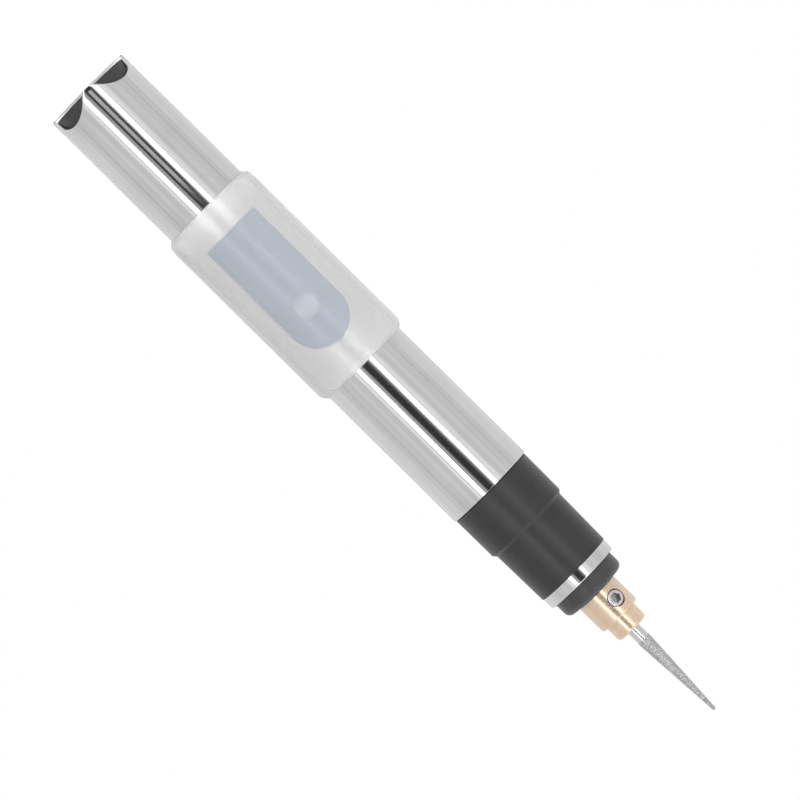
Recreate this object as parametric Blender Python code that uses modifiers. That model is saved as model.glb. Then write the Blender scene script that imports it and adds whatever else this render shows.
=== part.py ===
"""Cordless engraving pen with a brushed motor, a brass chuck and a diamond burr.

The pen stands on its tail rim with its axis on +Z and its point up. The switch faces -Y.
Units are metres. Heights are measured from the tail rim.
"""

import math

import bmesh
import bpy
from mathutils import Matrix, Vector

MM = 0.001

# Fits shared by all pieces
SLIP_FIT = 0.05 * MM
SEAT_GAP = 0.3 * MM
CUT_OVERRUN = 1.0 * MM
MERGE_DISTANCE = 0.001 * MM

# Barrel tube
BARREL_DIAMETER = 16.0 * MM
BARREL_WALL = 0.5 * MM
BARREL_LENGTH = 92.7 * MM
SCALLOP_COUNT = 4
SCALLOP_DEPTH = 2.6 * MM
SCALLOP_LAND = 2.4 * MM
WINDOW_START = 33.0 * MM
WINDOW_LENGTH = 24.8 * MM
WINDOW_WIDTH = 10.4 * MM
WINDOW_CORNER = 0.4 * MM

# Silicone sleeve, with a margin past each end of the window
SLEEVE_TAIL_MARGIN = 5.5 * MM
SLEEVE_NOSE_MARGIN = 5.95 * MM
SLEEVE_WALL = 1.0 * MM
SLEEVE_LIP = 0.15 * MM
SLEEVE_EDGE_FLAT = 0.05 * MM

# Tail plug and charging socket
PLUG_INSET = 0.44 * MM
PLUG_LENGTH = 5.2 * MM
PLUG_CHAMFER = 0.3 * MM
LEDGE_LENGTH = 3.4 * MM
LEDGE_WIDTH = 8.0 * MM
LEDGE_THICKNESS = 1.6 * MM
SOCKET_WIDTH = 8.94 * MM
SOCKET_HEIGHT = 3.26 * MM
SOCKET_WALL = 0.3 * MM
SOCKET_DEPTH = 7.3 * MM
SOCKET_RECESS = 0.3 * MM
TONGUE_WIDTH = 6.7 * MM
TONGUE_THICKNESS = 0.7 * MM
TONGUE_RECESS = 1.2 * MM
CONTACT_BLOCK_LENGTH = 1.7 * MM

# Charging board
CHARGE_BOARD_LENGTH = 12.0 * MM
CHARGE_BOARD_EDGE_GAP = 0.9 * MM
CHARGE_BOARD_THICKNESS = 1.0 * MM
CHIP_LENGTH = 5.0 * MM
CHIP_WIDTH = 4.0 * MM
CHIP_HEIGHT = 1.5 * MM
CHIP_EDGE = 0.25 * MM

# Cell, which fills its frame between charging board and switch; its lid's radii are shares of its own
CELL_TAIL_ROOM = 3.06 * MM
CELL_CAN_WALL = 0.25 * MM
CELL_SHOULDER = 0.4 * MM
CELL_MOUTH_SHARE = 0.73
CELL_CAP_SHARE = 0.55
CELL_CROWN_SHARE = 0.39
WRAP_THICKNESS = 0.12 * MM
WRAP_TURN_IN = 1.2 * MM
GASKET_HEIGHT = 0.5 * MM
CELL_CAP_HEIGHT = 1.1 * MM

# Inner frame, which reaches a share of the way from the switch board to the nose bush
FRAME_WALL = 1.2 * MM
FRAME_BACK_WALL = 0.28 * MM
FRAME_SLOT_WIDTH = 6.4 * MM
FRAME_REACH_SHARE = 0.287

# Switch board and switch, placed from the window
SWITCH_SETBACK = 7.6 * MM
BOARD_TAIL_MARGIN = 4.0 * MM
BOARD_NOSE_MARGIN = 2.6 * MM
SWITCH_BOARD_THICKNESS = 0.8 * MM
HOUSING_SIDE = 6.0 * MM
HOUSING_THICKNESS = 2.3 * MM
HOUSING_EDGE = 0.25 * MM
HOUSING_WELL_DIAMETER = 4.4 * MM
HOUSING_FLOOR = 0.9 * MM
PLATE_THICKNESS = 0.2 * MM
DOME_THICKNESS = 0.12 * MM
DOME_CLEARANCE = 0.11 * MM
BUTTON_TRAVEL = 0.25 * MM
BUTTON_FLANGE_CLEARANCE = 0.2 * MM
BUTTON_FLANGE_WIDTH = 0.4 * MM
BUTTON_FLANGE_THICKNESS = 0.35 * MM
BUTTON_HEAD_DIAMETER = 4.6 * MM
BUTTON_RIM = 0.46 * MM
BUTTON_DOME_RISE = 0.32 * MM

# Window panel
PANEL_WALL = 0.7 * MM
PANEL_FIT = 0.1 * MM

# Nose bush, nose tube and grip, from the barrel's front on
BUSH_WALL = 0.525 * MM
BUSH_TAIL = 4.0 * MM
BUSH_SETBACK = 0.4 * MM
BUSH_CHAMFER = 0.3 * MM
NOSE_TUBE_WALL = 0.6 * MM
NOSE_TUBE_REACH = 6.7 * MM
NOSE_TUBE_SHOWN = 2.1 * MM
NOSE_TUBE_ROUNDING = 0.3 * MM
GRIP_GAP = 0.1 * MM
GRIP_WALL = 0.325 * MM
GRIP_REAR_LENGTH = 8.3 * MM
GRIP_REAR_TAPER = 0.05 * MM
GRIP_STEP_LENGTH = 0.6 * MM
GRIP_NOSE_LENGTH = 11.0 * MM
GRIP_NOSE_TAPER = 0.175 * MM
GRIP_ROUNDING = 0.25 * MM

# Nose cap
CAP_CLEARANCE = 0.125 * MM
CAP_SHOWN = 3.1 * MM
CAP_CHAMFER_LENGTH = 1.3 * MM
CAP_CHAMFER_WIDTH = 0.75 * MM
CAP_HUB_CLEARANCE = 0.4 * MM
CAP_ROUNDING = 0.4 * MM

# Motor
MOTOR_SETBACK = 1.7 * MM
MOTOR_LENGTH = 23.4 * MM
MOTOR_CAN_WALL = 0.5 * MM
MOTOR_CAN_ROUNDING = 0.6 * MM
MOTOR_BOSS_DIAMETER = 5.4 * MM
MOTOR_BOSS_HEIGHT = 1.2 * MM
MAGNET_THICKNESS_SHARE = 0.236
MAGNET_ANGLE = math.radians(120.0)
END_CAP_FLANGE = 3.1 * MM
END_CAP_SPIGOT = 3.1 * MM
END_CAP_FLOOR = 2.2 * MM
END_CAP_WALL = 0.8 * MM
BUSHING_WALL = 0.9 * MM
BUSHING_LENGTH = 2.0 * MM
TERMINAL_SETBACK = 0.775 * MM
TERMINAL_WIDTH = 1.8 * MM
TERMINAL_THICKNESS = 0.4 * MM
TERMINAL_TAIL = 2.4 * MM
BRUSH_WIDTH = 1.2 * MM
BRUSH_HEIGHT = 1.4 * MM
BRUSH_SETBACK = 4.7 * MM

# Rotor: its radial sizes are shares of its own radius, so that a smaller motor keeps its proportions
AIR_GAP = 0.325 * MM
SHAFT_DIAMETER = 2.0 * MM
SHAFT_CHAMFER = 0.15 * MM
ROTOR_REAR_ROOM = 7.4 * MM
ROTOR_FRONT_ROOM = 4.8 * MM
ROTOR_POLES = 3
HUB_SHARE = 0.405
POLE_WIDTH_SHARE = 0.405
SHOE_SHARE = 0.81
SHOE_ANGLE = math.radians(98.0)
COIL_SHARES = (0.48, 0.705)
COIL_WIDTH_SHARE = 0.152
COMMUTATOR_DIAMETER = 3.0 * MM
COMMUTATOR_LENGTH = 2.3 * MM
COMMUTATOR_GROOVE = 0.3 * MM
COMMUTATOR_GROOVE_DEPTH = 0.25 * MM

# Chuck and clamp screw
CHUCK_DIAMETER = 7.7 * MM
CHUCK_STEP_HEIGHT = 0.85 * MM
CHUCK_HUB_DIAMETER = 5.0 * MM
CHUCK_HUB_GAP = 0.5 * MM
CHUCK_BODY_LENGTH = 4.9 * MM
CHUCK_STEP_LENGTH = 3.1 * MM
CHUCK_ROUNDING = 0.35 * MM
CHUCK_NOSE_ROUNDING = 0.6 * MM
SCREW_DIAMETER = 2.9 * MM
SCREW_SETBACK = 2.3 * MM
SCREW_LEAD = 1.2 * MM
SCREW_TURN = math.radians(25.7)
SCREW_RECESS = 0.15 * MM
SCREW_CHAMFER = 0.2 * MM
SCREW_SOCKET_WIDTH = 1.5 * MM
SCREW_SOCKET_DEPTH = 1.2 * MM

# Burr
BURR_SHANK_DIAMETER = 2.35 * MM
BURR_SHANK_SHOWN = 2.3 * MM
BURR_SHANK_CHAMFER = 0.2 * MM
BURR_HEAD_LENGTH = 16.4 * MM
BURR_HEAD_DIAMETER = 2.42 * MM
BURR_STRAIGHT_LENGTH = 0.6 * MM
BURR_TIP_DIAMETER = 0.56 * MM
BURR_TIP_FILLET_SHARE = 0.8
DIAMOND_THICKNESS = 0.14 * MM

# Wires
WIRE_DIAMETER = 0.9 * MM
WIRE_CLEARANCE = 0.1 * MM
WIRE_PITCH = 1.6 * MM
WIRE_BEND = 2.6 * MM

# Facets: lengths on a fillet, counts round a full turn and on arcs
FILLET_FACET = 0.5 * MM
LARGE_STEPS = 48
MEDIUM_STEPS = 32
SMALL_STEPS = 24
TINY_STEPS = 16
DOME_STEPS = 3
WINDOW_ARC_STEPS = 16
SOCKET_ARC_STEPS = 8
POLE_ARC_STEPS = 10
STEM_ARC_STEPS = 4
CORNER_STEPS = 3
WIRE_POINTS_PER_SPAN = 3
SHARP_ANGLE = math.radians(35.0)

# Places along the axis, worked out from the sizes above
WINDOW_END = WINDOW_START + WINDOW_LENGTH
SLEEVE_START = WINDOW_START - SLEEVE_TAIL_MARGIN
SLEEVE_FRONT = WINDOW_END + SLEEVE_NOSE_MARGIN
SWITCH_HEIGHT = WINDOW_END - SWITCH_SETBACK
SWITCH_BOARD_START = WINDOW_START - BOARD_TAIL_MARGIN
SWITCH_BOARD_END = WINDOW_END + BOARD_NOSE_MARGIN
GRIP_START = BARREL_LENGTH + GRIP_GAP
GRIP_STEP = BARREL_LENGTH + GRIP_REAR_LENGTH
GRIP_FRONT = GRIP_STEP + GRIP_NOSE_LENGTH
NOSE_TUBE_START = BARREL_LENGTH - NOSE_TUBE_REACH
NOSE_TUBE_FRONT = GRIP_FRONT + NOSE_TUBE_SHOWN
BUSH_START = NOSE_TUBE_START - BUSH_TAIL
BUSH_FRONT = GRIP_STEP - BUSH_SETBACK
CAP_FRONT = NOSE_TUBE_FRONT + CAP_SHOWN
MOTOR_FRONT = NOSE_TUBE_FRONT - MOTOR_SETBACK
MOTOR_START = MOTOR_FRONT - MOTOR_LENGTH
MOTOR_CAN_START = MOTOR_START + END_CAP_FLANGE + SEAT_GAP
BOSS_FRONT = MOTOR_FRONT + MOTOR_BOSS_HEIGHT
BRUSH_CENTRE = MOTOR_START + BRUSH_SETBACK
ROTOR_START = MOTOR_START + ROTOR_REAR_ROOM
ROTOR_LENGTH = MOTOR_FRONT - ROTOR_FRONT_ROOM - ROTOR_START
CHUCK_REAR = CAP_FRONT + SEAT_GAP
CHUCK_HUB_REAR = BOSS_FRONT + CHUCK_HUB_GAP
CHUCK_STEP = CHUCK_REAR + CHUCK_BODY_LENGTH
CHUCK_FRONT = CHUCK_STEP + CHUCK_STEP_LENGTH
SCREW_HEIGHT = CHUCK_REAR + SCREW_SETBACK
SHAFT_BORE_END = SCREW_HEIGHT - SCREW_LEAD
SHAFT_FRONT = SHAFT_BORE_END - SEAT_GAP
SHAFT_REAR = MOTOR_START + SEAT_GAP
BURR_REAR = SHAFT_BORE_END + SEAT_GAP
BURR_SHOULDER = CHUCK_FRONT + BURR_SHANK_SHOWN
BURR_TIP = BURR_SHOULDER + BURR_HEAD_LENGTH
CHARGE_BOARD_START = PLUG_INSET + PLUG_LENGTH + SEAT_GAP
CHARGE_BOARD_END = CHARGE_BOARD_START + CHARGE_BOARD_LENGTH
CELL_START = CHARGE_BOARD_END + CELL_TAIL_ROOM
FRAME_END = SWITCH_BOARD_END + (BUSH_START - SWITCH_BOARD_END) * FRAME_REACH_SHARE
POCKET_END = FRAME_END - FRAME_WALL
CELL_CAP_FRONT = POCKET_END - SEAT_GAP
CELL_FRONT = CELL_CAP_FRONT - CELL_CAP_HEIGHT
POCKET_START = CELL_START - WRAP_THICKNESS - SLIP_FIT * 2
FRAME_START = POCKET_START - FRAME_WALL

# Radii, worked inwards from the barrel, and depths below the switch side
BARREL_RADIUS = BARREL_DIAMETER / 2
BARREL_BORE_RADIUS = BARREL_RADIUS - BARREL_WALL
INSERT_RADIUS = BARREL_BORE_RADIUS - SLIP_FIT
SLEEVE_BORE_RADIUS = BARREL_RADIUS + SLIP_FIT
NOSE_TUBE_RADIUS = INSERT_RADIUS - BUSH_WALL - SLIP_FIT
NOSE_TUBE_BORE_RADIUS = NOSE_TUBE_RADIUS - NOSE_TUBE_WALL
MOTOR_RADIUS = NOSE_TUBE_BORE_RADIUS - SLIP_FIT
MOTOR_CAN_BORE = MOTOR_RADIUS - MOTOR_CAN_WALL
SPIGOT_RADIUS = MOTOR_CAN_BORE - SLIP_FIT
TERMINAL_RADIUS = SPIGOT_RADIUS - END_CAP_WALL - TERMINAL_SETBACK
MAGNET_OUTER_RADIUS = MOTOR_CAN_BORE - SLIP_FIT * 2
MAGNET_INNER_RADIUS = MAGNET_OUTER_RADIUS - MOTOR_CAN_BORE * MAGNET_THICKNESS_SHARE
ROTOR_RADIUS = MAGNET_INNER_RADIUS - AIR_GAP
SHAFT_RADIUS = SHAFT_DIAMETER / 2
BUSHING_RADIUS = SHAFT_RADIUS + SLIP_FIT + BUSHING_WALL
BURR_RADIUS = BURR_SHANK_DIAMETER / 2
PANEL_RADIUS = BARREL_RADIUS - SLIP_FIT
PLATE_FACE = PANEL_RADIUS - BUTTON_DOME_RISE - BUTTON_RIM - BUTTON_TRAVEL - SLIP_FIT
HOUSING_FACE = PLATE_FACE - PLATE_THICKNESS - SLIP_FIT
BOARD_FACE = HOUSING_FACE - HOUSING_THICKNESS - SLIP_FIT
BOARD_BACK = BOARD_FACE - SWITCH_BOARD_THICKNESS
FRAME_FACE = BOARD_BACK - SEAT_GAP
CELL_FACE = FRAME_FACE + SLIP_FIT
CELL_BACK = INSERT_RADIUS - FRAME_BACK_WALL - SLIP_FIT
WRAP_RADIUS = (CELL_FACE + CELL_BACK) / 2
CELL_SETBACK = (CELL_BACK - CELL_FACE) / 2
CELL_RADIUS = WRAP_RADIUS - WRAP_THICKNESS - SLIP_FIT
CHARGE_BOARD_FRONT = -(SOCKET_HEIGHT / 2 + SLIP_FIT)
LANE_RADIUS = BARREL_BORE_RADIUS - WIRE_CLEARANCE * 2 - WIRE_DIAMETER / 2
LANE_DEPTH = FRAME_FACE + SEAT_GAP + WIRE_DIAMETER / 2
LANE_SIDE = math.sqrt(LANE_RADIUS**2 - LANE_DEPTH**2)
SWITCH_BOARD_HALF = LANE_SIDE - WIRE_DIAMETER / 2 - WIRE_CLEARANCE * 2


def new_collection(name):
    """A collection linked to the scene."""
    collection = bpy.data.collections.new(name)
    bpy.context.scene.collection.children.link(collection)
    return collection


for old in list(bpy.data.objects):
    bpy.data.objects.remove(old, do_unlink=True)

PEN = new_collection("engraving_pen")
CUTTERS = new_collection("cutters")


def finish(name, colour, roughness, metallic):
    """A plain Principled material."""
    material = bpy.data.materials.new(name)
    material.use_nodes = True
    shader = material.node_tree.nodes["Principled BSDF"]
    shader.inputs["Base Color"].default_value = (*colour, 1.0)
    shader.inputs["Roughness"].default_value = roughness
    shader.inputs["Metallic"].default_value = metallic
    material.diffuse_color = (*colour, 1.0)
    return material


POLISHED_STEEL = finish("polished_steel", (0.72, 0.72, 0.72), 0.12, 1.0)
PLATED_STEEL = finish("plated_steel", (0.55, 0.55, 0.56), 0.3, 1.0)
SPRING_STEEL = finish("spring_steel", (0.62, 0.62, 0.6), 0.25, 1.0)
SILICONE = finish("milky_silicone", (0.8, 0.81, 0.82), 0.35, 0.0)
BLACK_PLASTIC = finish("black_plastic", (0.03, 0.03, 0.033), 0.55, 0.0)
BLACK_RUBBER = finish("black_rubber", (0.045, 0.045, 0.047), 0.7, 0.0)
BLUE_GREY_PLASTIC = finish("blue_grey_plastic", (0.3, 0.35, 0.42), 0.5, 0.0)
WHITE_PLASTIC = finish("white_plastic", (0.75, 0.75, 0.73), 0.5, 0.0)
BOARD_GREEN = finish("board_green", (0.02, 0.12, 0.06), 0.4, 0.0)
CELL_FOIL = finish("cell_foil", (0.25, 0.25, 0.27), 0.45, 0.0)
CELL_WRAP_BLUE = finish("cell_wrap_blue", (0.05, 0.16, 0.4), 0.35, 0.0)
BRASS = finish("brass", (0.78, 0.58, 0.37), 0.25, 1.0)
COPPER = finish("copper", (0.7, 0.32, 0.16), 0.35, 1.0)
BRONZE = finish("sintered_bronze", (0.5, 0.34, 0.18), 0.5, 1.0)
FERRITE = finish("ferrite", (0.07, 0.07, 0.075), 0.6, 0.0)
CARBON = finish("carbon", (0.03, 0.03, 0.03), 0.6, 0.0)
RED_INSULATION = finish("red_insulation", (0.55, 0.03, 0.03), 0.5, 0.0)
BLACK_INSULATION = finish("black_insulation", (0.02, 0.02, 0.02), 0.5, 0.0)
DIAMOND_GRIT = finish("diamond_grit", (0.5, 0.5, 0.5), 0.5, 0.6)


def place(name, mesh, material, collection, matrix=None):
    """An object for a mesh, shaded smooth with its sharp edges kept."""
    item = bpy.data.objects.new(name, mesh)
    if material is not None:
        mesh.materials.append(material)
    if matrix is not None:
        item.matrix_world = matrix
    if len(mesh.polygons):
        mesh.shade_smooth()
        mesh.set_sharp_from_angle(angle=SHARP_ANGLE)
    collection.objects.link(item)
    if collection is CUTTERS:
        item.hide_render = True
        item.display_type = "WIRE"
    return item


def along_minus_y(x, z):
    """Frame whose local X is +X, local Y is +Z and local Z points to -Y, out of the switch side."""
    return Matrix.Translation((x, 0, z)) @ Matrix.Rotation(math.radians(90.0), 4, "X")


def filleted(corners, closed):
    """Outline points from (x, y, fillet) corners, each fillet made as an arc."""
    points = []
    count = len(corners)
    for index, (x, y, fillet) in enumerate(corners):
        end = not closed and index in (0, count - 1)
        if fillet == 0 or end:
            points.append((x, y))
            continue
        here = Vector((x, y))
        before = (Vector(corners[index - 1][:2]) - here).normalized()
        after = (Vector(corners[(index + 1) % count][:2]) - here).normalized()
        half = before.angle(after) / 2
        centre = here + (before + after).normalized() * fillet / math.sin(half)
        start = here + before * fillet / math.tan(half) - centre
        stop = here + after * fillet / math.tan(half) - centre
        sweep = start.angle_signed(stop)
        steps = 1 + round(fillet / FILLET_FACET)
        for step in range(steps + 1):
            turned_by = -sweep * step / steps
            arm = Matrix.Rotation(turned_by, 2) @ start
            points.append(tuple(centre + arm))
    return points


def turned(name, corners, steps, material, closed=True, matrix=None, collection=PEN):
    """A turned piece: its (radius, height, fillet) profile runs down the outer side, then up the bore."""
    points = filleted(corners, closed)
    edges = [(i, i + 1) for i in range(len(points) - 1)]
    if closed:
        edges.append((len(points) - 1, 0))
    mesh = bpy.data.meshes.new(name)
    mesh.from_pydata([(radius, 0, height) for radius, height in points], edges, [])
    item = place(name, mesh, material, collection, matrix)
    screw = item.modifiers.new("turn", "SCREW")
    screw.axis = "Z"
    screw.angle = math.radians(360.0)
    screw.steps = steps
    screw.render_steps = steps
    screw.use_merge_vertices = True
    screw.merge_threshold = MERGE_DISTANCE
    screw.use_smooth_shade = True
    return item


def cylinder(name, radius, low, high, steps, matrix=None):
    """A round cutter between two heights."""
    corners = [(0, high, 0), (radius, high, 0), (radius, low, 0), (0, low, 0)]
    return turned(name, corners, steps, None, closed=False, matrix=matrix, collection=CUTTERS)


def block(name, low, high, material, collection=PEN, matrix=None, edge=0.0):
    """A box between two corners, its edges rounded by the given width."""
    mesh = bpy.data.meshes.new(name)
    shape = bmesh.new()
    bmesh.ops.create_cube(shape, size=1.0)
    size = Vector(high) - Vector(low)
    middle = (Vector(high) + Vector(low)) / 2
    bmesh.ops.scale(shape, vec=size, verts=shape.verts)
    bmesh.ops.translate(shape, vec=middle, verts=shape.verts)
    shape.to_mesh(mesh)
    shape.free()
    item = place(name, mesh, material, collection, matrix)
    if edge:
        bevel = item.modifiers.new("edges", "BEVEL")
        bevel.width = edge
        bevel.segments = 1
        bevel.limit_method = "ANGLE"
    return item


def plate(name, outlines, low, high, material, collection=PEN, matrix=None):
    """A flat piece: a filled 2D curve, inner outlines as holes, extruded between two heights."""
    curve = bpy.data.curves.new(name, "CURVE")
    curve.dimensions = "2D"
    curve.fill_mode = "BOTH"
    curve.extrude = (high - low) / 2
    for outline in outlines:
        spline = curve.splines.new("POLY")
        spline.points.add(len(outline) - 1)
        for point, (x, y) in zip(spline.points, outline):
            point.co = (x, y, 0, 1)
        spline.use_cyclic_u = True
    guide = bpy.data.objects.new(name + "_outline", curve)
    CUTTERS.objects.link(guide)
    base = matrix if matrix is not None else Matrix.Identity(4)
    bpy.context.view_layer.update()
    evaluated = guide.evaluated_get(bpy.context.evaluated_depsgraph_get())
    mesh = bpy.data.meshes.new_from_object(evaluated)
    bpy.data.objects.remove(guide, do_unlink=True)
    mesh.name = name
    shape = bmesh.new()
    shape.from_mesh(mesh)
    bmesh.ops.remove_doubles(shape, verts=shape.verts, dist=MERGE_DISTANCE)
    bmesh.ops.recalc_face_normals(shape, faces=shape.faces)
    shape.to_mesh(mesh)
    shape.free()
    return place(name, mesh, material, collection, base @ Matrix.Translation((0, 0, (low + high) / 2)))


def boolean(item, cutter, operation="DIFFERENCE"):
    """Cuts an object with another, or keeps what they share."""
    modifier = item.modifiers.new(cutter.name, "BOOLEAN")
    modifier.operation = operation
    modifier.object = cutter
    modifier.solver = "EXACT"


def arc(centre, radius, start, stop, steps):
    """Points on an arc, angles in radians."""
    angles = [start + (stop - start) * step / steps for step in range(steps + 1)]
    return [(centre[0] + radius * math.cos(a), centre[1] + radius * math.sin(a)) for a in angles]


def smooth_route(stops):
    """Points on a smooth curve through the stops of a wire's route, straight out of both ends."""
    knots = [Vector(stop) for stop in stops]
    runs = [(there - here).normalized() for here, there in zip(knots, knots[1:])]
    ways = [runs[0]] + [(one + other).normalized() for one, other in zip(runs, runs[1:])] + [runs[-1]]
    points = []
    for index, (here, there) in enumerate(zip(knots, knots[1:])):
        reach = min((there - here).length / 3, WIRE_BEND / 2)
        leave = here + ways[index] * reach
        arrive = there - ways[index + 1] * reach
        for step in range(WIRE_POINTS_PER_SPAN):
            t = step / WIRE_POINTS_PER_SPAN
            u = 1 - t
            points.append(here * u**3 + leave * (t * u**2 * 3) + arrive * (t**2 * u * 3) + there * t**3)
    points.append(knots[-1])
    return points


def wire(name, stops, material):
    """An insulated wire along its route."""
    curve = bpy.data.curves.new(name, "CURVE")
    curve.dimensions = "3D"
    curve.bevel_depth = WIRE_DIAMETER / 2
    curve.bevel_resolution = 2
    curve.use_fill_caps = True
    route = smooth_route(stops)
    spline = curve.splines.new("POLY")
    spline.points.add(len(route) - 1)
    for point, place_on_route in zip(spline.points, route):
        point.co = (*place_on_route, 1)
    curve.materials.append(material)
    item = bpy.data.objects.new(name, curve)
    PEN.objects.link(item)
    return item


def window_outline(clearance):
    """The window's outline in (x, height): square at the tail end, a half circle at the nose end."""
    half = WINDOW_WIDTH / 2 - clearance
    low = WINDOW_START + clearance
    centre = WINDOW_END - WINDOW_WIDTH / 2
    corner = WINDOW_CORNER
    points = arc((0, centre), half, 0, math.pi, WINDOW_ARC_STEPS)
    points += arc((corner - half, low + corner), corner, math.pi, math.pi * 1.5, CORNER_STEPS)
    points += arc((half - corner, low + corner), corner, math.pi * 1.5, math.tau, CORNER_STEPS)
    return points


def stadium(width, height):
    """An oval outline with straight long sides and round ends."""
    radius = height / 2
    straight = width / 2 - radius
    right = arc((straight, 0), radius, -math.pi / 2, math.pi / 2, SOCKET_ARC_STEPS)
    left = arc((-straight, 0), radius, math.pi / 2, math.pi * 1.5, SOCKET_ARC_STEPS)
    return right + left


# Barrel tube: drawn steel, tail rim scalloped, window milled through the switch side
def build_barrel():
    corners = [
        (BARREL_RADIUS, BARREL_LENGTH, 0),
        (BARREL_RADIUS, 0, 0),
        (BARREL_BORE_RADIUS, 0, 0),
        (BARREL_BORE_RADIUS, BARREL_LENGTH, 0),
    ]
    barrel = turned("barrel_tube", corners, LARGE_STEPS, POLISHED_STEEL)
    pitch = math.tau / SCALLOP_COUNT
    half_angle = pitch / 2 - SCALLOP_LAND / BARREL_DIAMETER
    half_chord = BARREL_RADIUS * math.sin(half_angle)
    radius = (half_chord**2 + SCALLOP_DEPTH**2) / (SCALLOP_DEPTH * 2)
    for index in range(SCALLOP_COUNT):
        turn = Matrix.Rotation(pitch * (index + 0.5), 4, "Z")
        centre = Matrix.Translation((0, 0, SCALLOP_DEPTH - radius))
        tip = Matrix.Rotation(math.radians(90.0), 4, "Y")
        name = f"scallop_cutter_{index + 1}"
        reach = BARREL_RADIUS + CUT_OVERRUN
        boolean(barrel, cylinder(name, radius, 0, reach, LARGE_STEPS, turn @ centre @ tip))
    window = plate(
        "window_cutter",
        [window_outline(0)],
        0,
        BARREL_RADIUS + CUT_OVERRUN,
        None,
        CUTTERS,
        along_minus_y(0, 0),
    )
    boolean(barrel, window)


# Silicone sleeve: soft cuff that covers the window and passes the finger's press to the button
def build_sleeve():
    outer = SLEEVE_BORE_RADIUS + SLEEVE_WALL
    rounding = SLEEVE_WALL - SLEEVE_LIP - SLEEVE_EDGE_FLAT
    corners = [
        (outer, SLEEVE_FRONT, rounding),
        (outer, SLEEVE_START, rounding),
        (SLEEVE_BORE_RADIUS, SLEEVE_START, SLEEVE_LIP),
        (SLEEVE_BORE_RADIUS, SLEEVE_FRONT, SLEEVE_LIP),
    ]
    turned("silicone_sleeve", corners, LARGE_STEPS, SILICONE)


# Tail plug: moulded disc with the charging socket's mouth and a ledge for the charging board
def build_plug():
    front = PLUG_INSET + PLUG_LENGTH
    corners = [
        (0, front, 0),
        (INSERT_RADIUS, front, PLUG_CHAMFER),
        (INSERT_RADIUS, PLUG_INSET, PLUG_CHAMFER),
        (0, PLUG_INSET, 0),
    ]
    plug = turned("tail_plug", corners, MEDIUM_STEPS, BLACK_PLASTIC, closed=False)
    ledge_face = -CHARGE_BOARD_FRONT + CHARGE_BOARD_THICKNESS + SLIP_FIT
    ledge = block(
        "ledge_joiner",
        (-LEDGE_WIDTH / 2, ledge_face, front - CUT_OVERRUN),
        (LEDGE_WIDTH / 2, ledge_face + LEDGE_THICKNESS, front + LEDGE_LENGTH),
        None,
        CUTTERS,
    )
    boolean(plug, ledge, "UNION")
    mouth = plate(
        "mouth_cutter",
        [stadium(SOCKET_WIDTH + SLIP_FIT * 2, SOCKET_HEIGHT + SLIP_FIT * 2)],
        0,
        front + CUT_OVERRUN,
        None,
        CUTTERS,
    )
    boolean(plug, mouth)


# Charging socket: folded steel shell round a tongue that carries the contacts
def build_socket():
    start = PLUG_INSET + SOCKET_RECESS
    end = start + SOCKET_DEPTH
    inner_width = SOCKET_WIDTH - SOCKET_WALL * 2
    inner_height = SOCKET_HEIGHT - SOCKET_WALL * 2
    outlines = [stadium(SOCKET_WIDTH, SOCKET_HEIGHT), stadium(inner_width, inner_height)]
    plate("usb_shell", outlines, start, end, PLATED_STEEL)
    block_outline = stadium(inner_width - SLIP_FIT * 2, inner_height - SLIP_FIT * 2)
    tongue = plate("usb_tongue", [block_outline], end - CONTACT_BLOCK_LENGTH, end, BLACK_PLASTIC)
    blade = block(
        "blade_joiner",
        (-TONGUE_WIDTH / 2, -TONGUE_THICKNESS / 2, start + TONGUE_RECESS),
        (TONGUE_WIDTH / 2, TONGUE_THICKNESS / 2, end - CONTACT_BLOCK_LENGTH / 2),
        None,
        CUTTERS,
    )
    boolean(tongue, blade, "UNION")


# Charging board: lies along the axis behind the socket, its chip on the socket's side
def build_charge_board():
    back = -CHARGE_BOARD_FRONT
    far = back + CHARGE_BOARD_THICKNESS
    half = math.sqrt(BARREL_BORE_RADIUS**2 - far**2) - CHARGE_BOARD_EDGE_GAP
    block(
        "charge_board",
        (-half, back, CHARGE_BOARD_START),
        (half, far, CHARGE_BOARD_END),
        BOARD_GREEN,
    )
    start = PLUG_INSET + SOCKET_RECESS + SOCKET_DEPTH + SEAT_GAP
    block(
        "charge_chip",
        (-CHIP_WIDTH / 2, back - SLIP_FIT - CHIP_HEIGHT, start),
        (CHIP_WIDTH / 2, back - SLIP_FIT, start + CHIP_LENGTH),
        BLACK_PLASTIC,
        edge=CHIP_EDGE,
    )


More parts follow.
